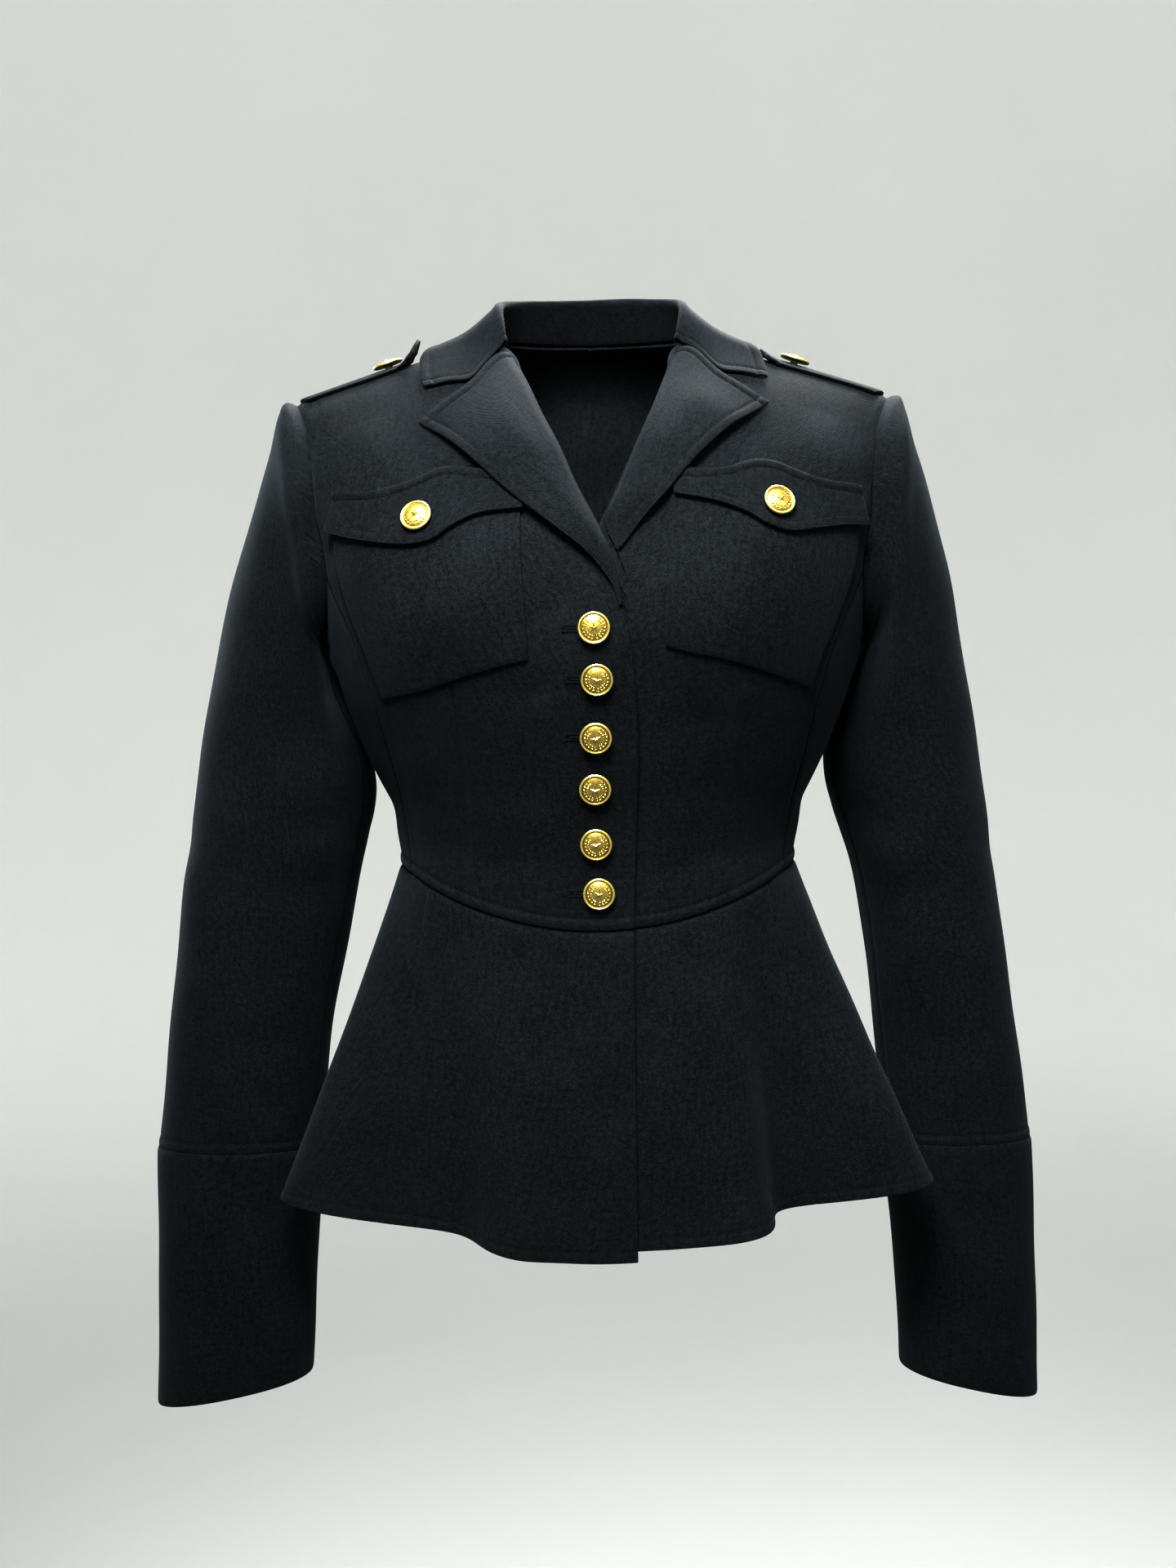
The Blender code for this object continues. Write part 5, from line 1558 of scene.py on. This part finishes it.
def skin_of(name, cut, surface, step, side):
    """A piece's skin with the relief of its edges and its creases."""
    columns, rows, kinds = CUTS[cut]
    if side == RIGHT:
        kinds = (kinds[1], kinds[0]) + kinds[2:]
    skin = Skin(surface, columns, rows, [EDGES[kind].rows for kind in kinds], step)
    height = unevenness(skin)
    for edge, kind in zip(SKIN_EDGES, kinds):
        height = height + relief(EDGES[kind], getattr(skin, edge))
    if cut == "lapel":
        full = np.clip((skin.left + skin.right) / LAPEL_FULL, 0.0, 1.0)
        height = height * full * full * (3.0 - 2.0 * full)
    for view, size, width, *line in CREASES.get(name, ()):
        height = height + crease(skin, view, size * MM, width * MM, np.array(line) * MM)
    skin.lift(height)
    skin.tuck([EDGES[kind].under for kind in kinds])
    return skin, kinds


def sew(sewing, skin, kinds):
    """Stitch lines beside the edges that have them, stopped where the lines cross."""
    neighbours = {"left": (2, 3), "right": (2, 3), "bottom": (0, 1), "top": (0, 1)}
    for edge, kind in zip(SKIN_EDGES, kinds):
        if EDGES[kind].stitched:
            ends = tuple(STITCH_IN if EDGES[kinds[n]].stitched else STITCH_STOP for n in neighbours[edge])
            sewing.line(*skin.run(edge, STITCH_IN), ends)


CLOSING_REACH = 0.0055


def drawn_to_closing(surface):
    """The right front of the peplum, drawn out at the waist to the bodice's closing edge."""
    def drawn(u, v):
        return surface(u, v) + np.array((CLOSING_REACH * v * u ** 3, 0.0, 0.0))
    return drawn


skins = {}
for side, word in SIDES:
    upper = sleeve_surface(word, BACK_ARM_SEAM - 360.0, FRONT_ARM_SEAM)
    lower = sleeve_surface(word, FRONT_ARM_SEAM, BACK_ARM_SEAM)
    front_turns, side_turns = (CLOSING_TURN, PEPLUM_FRONT_TURN), (PEPLUM_FRONT_TURN, PEPLUM_SIDE_TURN)
    if side == RIGHT:
        front_turns, side_turns = front_turns[::-1], side_turns[::-1]
    peplum_front = peplum_surface(side, *front_turns)
    if side == RIGHT:
        peplum_front = drawn_to_closing(peplum_front)
    others = "front_" + word
    for cut, surface, step, wall, held, rests_on in (
        ("front", on_side(front_surface(side), side), FINE_STEP, WALL, "draped", ()),
        ("side", on_side(side_surface, side), STEP, WALL, "draped", ()),
        ("back", on_side(lambda u, v: back_surface(1.0 - u, v), side), STEP, WALL, "draped", ()),
        ("peplum_front", peplum_front, STEP, WALL, "hung", (others,)),
        ("peplum_side", peplum_surface(side, *side_turns), STEP, WALL, "hung", ("side_" + word,)),
        ("sleeve_upper", on_side(upper, side), STEP, SLEEVE_WALL, "hung", (others, "back_" + word)),
        ("sleeve_under", on_side(lower, side), STEP, SLEEVE_WALL, "hung", ("side_" + word,)),
        ("cuff", on_side(cuff_surface(word), side), STEP, WALL, "hung", ("sleeve_upper_" + word,)),
        ("lapel", on_side(lapel_surface(side), side), FINE_STEP, LAPEL_WALL, "folded", (others,)),
        ("pocket", on_side(pocket_surface(side), side), FINE_STEP, POCKET_WALL, "laid", (others,)),
        ("flap", on_side(flap_surface(side), side), FINE_STEP, FLAP_WALL, "laid", ("pocket_" + word,)),
        ("epaulette", on_side(strap_surface(side), side), FINE_STEP, STRAP_WALL, "laid", (others,)),
    ):
        name = f"{cut}_{word}"
        skins[name] = skin_of(name, cut, surface, step, side)
        cloth(name, skins[name][0], wall, held, rests_on)
skins["peplum_back"] = skin_of("peplum_back", "peplum_back", peplum_back_surface, STEP, LEFT)
cloth("peplum_back", skins["peplum_back"][0], WALL, "hung", ("back_right", "back_left"))
skins["collar"] = skin_of("collar", "collar", collar_surface, FINE_STEP, LEFT)
cloth("collar", skins["collar"][0], COLLAR_WALL, "folded", ("front_right", "front_left", "back_right", "back_left"))

# Topstitching, in one mesh for each group of pieces
GROUPS = {
    "stitching_bodice": ("front", "side", "back"),
    "stitching_peplum": ("peplum_front", "peplum_side", "peplum_back"),
    "stitching_sleeves": ("sleeve_upper", "sleeve_under"),
    "stitching_collar_and_lapels": ("lapel", "collar"),
    "stitching_pockets_and_straps": ("flap", "epaulette"),
}
for name, cuts in GROUPS.items():
    sewing = Sewing()
    for piece, (skin, kinds) in skins.items():
        if piece.rsplit("_", 1)[0] in cuts or piece in cuts:
            sew(sewing, skin, kinds)
    sewing.finished(name)


# Buttonholes

HOLE_LENGTH = 0.0200
HOLE_HALF = 0.0017
HOLE_PITCH = 0.00062
# Width and rise of the thread, and its height over the cloth: in the slit, beside it and at its outer end
SLIT_THREAD = (0.00130, 0.00060, 0.00005)
SIDE_THREAD = (0.00056, 0.00070, 0.00012)
END_THREAD = (0.00060, 0.00080, 0.00018)
BAR_LENGTH = 0.0021
END_BARS = 7
END_BACK = 0.0006
END_SPACE = 0.42
AHEAD = 0.0005
# From the middle of a button back to the start of its hole
FRONT_HOLE_BACK = 0.0180
FLAP_HOLE_BACK = 0.0095


def on_panel(side, lift):
    """Reads a point and its normal on a front, or on what lies on it, at a place seen from the front."""
    return lambda place: front_place(side, side * place[0], place[1], lift)


def buttonhole(sewing, surface_at, start, along):
    """A slit edged with close bars of thread; surface_at gives a point and its normal at a place."""
    across = np.array((-along[1], along[0]))

    def bar(middle, way, width, rise, over):
        point, normal = surface_at(middle)
        ahead = surface_at(middle + way * AHEAD)[0]
        sewing.stitch(point + normal * over, unit(ahead - point), normal, BAR_LENGTH, width, rise)

    width, rise, over = SLIT_THREAD
    point, normal = surface_at(start + along * HOLE_LENGTH / 2)
    slit = unit(surface_at(start + along * HOLE_LENGTH)[0] - surface_at(start)[0])
    sewing.stitch(point + normal * over, slit, normal, HOLE_LENGTH, width, rise)
    for side in (-1.0, 1.0):
        for index in range(int(HOLE_LENGTH / HOLE_PITCH)):
            bar(start + along * (index * HOLE_PITCH) + across * side * HOLE_HALF, across, *SIDE_THREAD)
    for index in range(END_BARS):
        share = (index - END_BARS // 2) * END_SPACE
        bar(start - along * END_BACK + across * HOLE_HALF * share, along, *END_THREAD)


holes = Sewing()
for across, height in FRONT_BUTTONS:
    place = np.array((across - FRONT_HOLE_BACK, height))
    buttonhole(holes, on_panel(RIGHT, 0.0), place, np.array((1.0, 0.0)))
for side, word in SIDES:
    across, height = POCKET_BUTTONS[side]
    place = np.array((side * across, height - FLAP_HOLE_BACK))
    buttonhole(holes, on_panel(side, FLAP_TOP_FACE), place, np.array((0.0, 1.0)))
holes.finished("buttonholes")


# Buttons

# Half of the section: radius, height, and how bright the brass is rubbed there
BUTTON_TURNED = (
    (0.0000, 0.00520, 0.30), (0.0022, 0.00510, 0.30), (0.0044, 0.00478, 0.28), (0.0062, 0.00430, 0.26),
    (0.0074, 0.00375, 0.20), (0.0079, 0.00345, 0.00), (0.0082, 0.00350, 0.15), (0.0085, 0.00400, 0.95),
    (0.0089, 0.00418, 1.00), (0.0093, 0.00410, 1.00), (0.0097, 0.00370, 0.85), (0.0099, 0.00310, 0.70),
    (0.0097, 0.00250, 0.50), (0.0090, 0.00200, 0.35), (0.0026, 0.00170, 0.20), (0.0026, 0.00030, 0.20),
    (0.0000, 0.00030, 0.20),
)
DOME_ROWS = 6
BUTTON_ROUND = 56
BUTTON_MERGE = 0.000005
BUTTON_EDGE = math.radians(18.0)
FULL_TURN = 2.0 * math.pi
STAR_POINTS = 5
STAR_OUTER, STAR_INNER, STAR_RISE = 0.0036, 0.0014, 0.00115
# Rings of leaves: radius, half a leaf's length, and its lean out of the ring
LEAF_RINGS = ((0.0050, 0.00098, 0.50), (0.0066, 0.00098, -0.45))
LEAVES = 8
LEAF_CORNERS = 8
LEAF_SLIM = 0.48
LEAF_RISE = 0.00060
# Degrees from the foot of the wreath to its first leaf, and from leaf to leaf
FIRST_LEAF = 14.0
LEAF_TURN = 18.0
# The rim of a star or leaf lies just under the dome and is hardly rubbed bright
RIM_SUNK = 0.00005
RIM_RUBBED = 0.05


def turned(builder, section, steps, merge):
    """Spins a section once round the upright axis, and closes its seam and poles."""
    edges = [builder.edges.new(pair) for pair in zip(section, section[1:])]
    bmesh.ops.spin(builder, geom=section + edges, cent=(0, 0, 0), axis=(0, 0, 1), angle=FULL_TURN, steps=steps,
                   use_merge=True)
    bmesh.ops.remove_doubles(builder, verts=builder.verts[:], dist=merge)
    bmesh.ops.recalc_face_normals(builder, faces=builder.faces[:])


def dome_height(radius):
    rows = np.array(BUTTON_TURNED[:DOME_ROWS])
    return float(np.interp(radius, rows[:, 0], rows[:, 1]))


def raised_shape(builder, layer, points, middle, rise):
    """A low faceted form on the dome: an outline of places about a raised middle."""
    made = bmesh.ops.create_circle(builder, cap_ends=True, cap_tris=True, segments=len(points), radius=1.0)
    rim = [vertex for vertex in made["verts"] if vertex.co.length > 0.5]
    centre = next(vertex for vertex in made["verts"] if vertex.co.length <= 0.5)
    rim.sort(key=lambda vertex: math.atan2(vertex.co.y, vertex.co.x) % FULL_TURN)
    for vertex, (x, y) in zip(rim, points):
        vertex.co = (x, y, dome_height(math.hypot(x, y)) - RIM_SUNK)
        vertex[layer] = RIM_RUBBED
    centre.co = (middle[0], middle[1], dome_height(math.hypot(*middle)) + rise)
    centre[layer] = 1.0


def button_mesh():
    """A turned dome with a rim, a five-pointed star and a wreath of leaves, facing +Z."""
    builder = bmesh.new()
    layer = builder.verts.layers.float.new("relief")
    section = []
    for radius, height, rubbed in BUTTON_TURNED:
        vertex = builder.verts.new((radius, 0.0, height))
        vertex[layer] = rubbed
        section.append(vertex)
    turned(builder, section, BUTTON_ROUND, BUTTON_MERGE)
    star = []
    for index in range(2 * STAR_POINTS):
        turn = math.pi / 2.0 + index * math.pi / STAR_POINTS
        reach = STAR_INNER if index % 2 else STAR_OUTER
        star.append((reach * math.cos(turn), reach * math.sin(turn)))
    star.sort(key=lambda place: math.atan2(place[1], place[0]) % FULL_TURN)
    raised_shape(builder, layer, star, (0.0, 0.0), STAR_RISE)
    for ring, half, lean in LEAF_RINGS:
        for branch in (-1.0, 1.0):
            for index in range(LEAVES):
                turn = -math.pi / 2.0 + branch * math.radians(FIRST_LEAF + index * LEAF_TURN)
                middle = np.array((ring * math.cos(turn), ring * math.sin(turn)))
                ahead = turn + branch * (math.pi / 2.0 + lean)
                along = np.array((math.cos(ahead), math.sin(ahead)))
                side = np.array((-along[1], along[0]))
                shape = []
                for step in range(LEAF_CORNERS):
                    angle = step * FULL_TURN / LEAF_CORNERS
                    shape.append(middle + (along * math.cos(angle) + side * math.sin(angle) * LEAF_SLIM) * half)
                raised_shape(builder, layer, shape, tuple(middle), LEAF_RISE)
    return builder


def dressed_button(name, place, normal, turn):
    builder = button_mesh()
    upright = Vector(normal).to_track_quat("Z", "Y").to_matrix().to_4x4()
    matrix = Matrix.Translation(Vector(place)) @ upright @ Matrix.Rotation(math.radians(turn), 4, "Z")
    bmesh.ops.transform(builder, matrix=matrix, verts=builder.verts[:])
    mesh = bpy.data.meshes.new(name + "_brass")
    builder.to_mesh(mesh)
    builder.free()
    mesh.shade_smooth()
    mesh.set_sharp_from_angle(angle=BUTTON_EDGE)
    mesh.materials.append(brass)
    piece = placed(mesh, name + "_brass")
    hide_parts(name)


# Degrees by which each button sits turned from upright
BUTTON_TURNS = (4.0, -7.0, 12.0, -3.0, 8.0, -10.0)
FLAP_BUTTON_TURN = 6.0
STRAP_BUTTON_TURN = 90.0
for number, ((across, height), turn) in enumerate(zip(FRONT_BUTTONS, BUTTON_TURNS), start=1):
    dressed_button(f"button_front_{number}", *front_place(RIGHT, -across, height, 0.0), turn)
for side, word in SIDES:
    place, normal = front_place(side, *POCKET_BUTTONS[side], FLAP_TOP_FACE)
    dressed_button("button_pocket_" + word, place, normal, side * FLAP_BUTTON_TURN)
    point, normal = frame_at(strap_surface(side), STRAP_BUTTON, 0.5)
    flip = np.array((side, 1.0, 1.0))
    dressed_button("button_epaulette_" + word, point * flip, normal * flip, side * STRAP_BUTTON_TURN)


# Floor, light and view

FLOOR_HEIGHT = -1.42
FLOOR_ROUND = 64
FLOOR_MERGE = 0.0001
# Radius and height of its section, and the distances from the jacket over which it turns paler, from painted shade
# in the middle to its pale outer colour
BOWL = ((0.0, 0.0), (3.6, 0.0), (4.6, 0.12), (5.3, 0.55), (5.7, 1.25), (5.8, 2.2), (5.8, 4.6))
MIDDLE_REACH = 1.9
PALE_SPAN = 2.9
FLOOR_PAINTED_SHADE = (0.455, 0.459, 0.449, 1)
FLOOR_OUTER = (0.820, 0.825, 0.804, 1)


def pale_bowl():
    """A floor that turns up into a wall all round, so that each side is seen before the same pale ground; round the
    jacket its colour is darkened as painted shade.
    """
    builder = bmesh.new()
    section = [builder.verts.new((radius, 0.0, FLOOR_HEIGHT + height)) for radius, height in BOWL]
    turned(builder, section, FLOOR_ROUND, FLOOR_MERGE)
    bmesh.ops.reverse_faces(builder, faces=builder.faces[:])
    mesh = bpy.data.meshes.new("floor")
    builder.to_mesh(mesh)
    builder.free()
    mesh.shade_smooth()
    finish = Finish("pale_floor")
    place = finish.node("ShaderNodeTexCoord", None, None, "Object")
    reach = finish.node("ShaderNodeVectorMath", {"operation": "LENGTH"}, {0: place}, 1)
    rise = finish.node("ShaderNodeClamp", None, {"Value": (reach - MIDDLE_REACH) * (1.0 / PALE_SPAN)})
    cloud = finish.noise(place, 1.5)
    # Painted shade: the floor's colour is darker round the jacket and paler out towards the wall
    finish.feed(Base_Color=finish.blend(rise * 0.9 + cloud * 0.1, FLOOR_PAINTED_SHADE, FLOOR_OUTER))
    finish.feed(Roughness=0.9)
    mesh.materials.append(finish.material)
    floor = bpy.data.objects.new("floor", mesh)
    smooth = floor.modifiers.new("Smooth", "SUBSURF")
    smooth.levels = smooth.render_levels = 2
    scene.collection.objects.link(floor)


def soft_light(name, place, target, size, power, spread):
    light = bpy.data.lights.new(name, "AREA")
    light.shape = "DISK"
    light.size = size
    light.energy = power
    light.spread = math.radians(spread)
    lamp = bpy.data.objects.new(name, light)
    lamp.location = place
    lamp.rotation_euler = (Vector(target) - Vector(place)).to_track_quat("-Z", "Y").to_euler()
    lamp.visible_camera = False
    scene.collection.objects.link(lamp)


CHEST = (0.0, -0.10, -0.09)
LEFT_ARM = (0.18, -0.08, -0.16)
# Place, target, size, power in watts, and spread in degrees
LIGHTS = {
    "key": ((-0.16, -0.92, 1.00), CHEST, 0.8, 16.0, 48.0),
    "front_fill": ((1.3, -1.4, 0.9), LEFT_ARM, 1.2, 2.6, 70.0),
    "back_top": ((0.25, 1.05, 1.10), CHEST, 0.9, 26.0, 70.0),
    "back_fill": ((-1.6, 1.5, 0.2), CHEST, 1.2, 14.0, 120.0),
}
STUDIO_COLOUR = (0.98, 0.99, 1.0, 1.0)
STUDIO_STRENGTH = 1.28
# Below 1, it darkens dark tones more than light ones
VIEW_GAMMA = 0.66

pale_bowl()
for name, row in LIGHTS.items():
    soft_light(name, *row)
world = bpy.data.worlds.new("studio")
scene.world = world
world.use_nodes = True
sky = world.node_tree.nodes["Background"].inputs
sky["Color"].default_value = STUDIO_COLOUR
sky["Strength"].default_value = STUDIO_STRENGTH
scene.view_settings.view_transform = "Standard"
scene.view_settings.gamma = VIEW_GAMMA
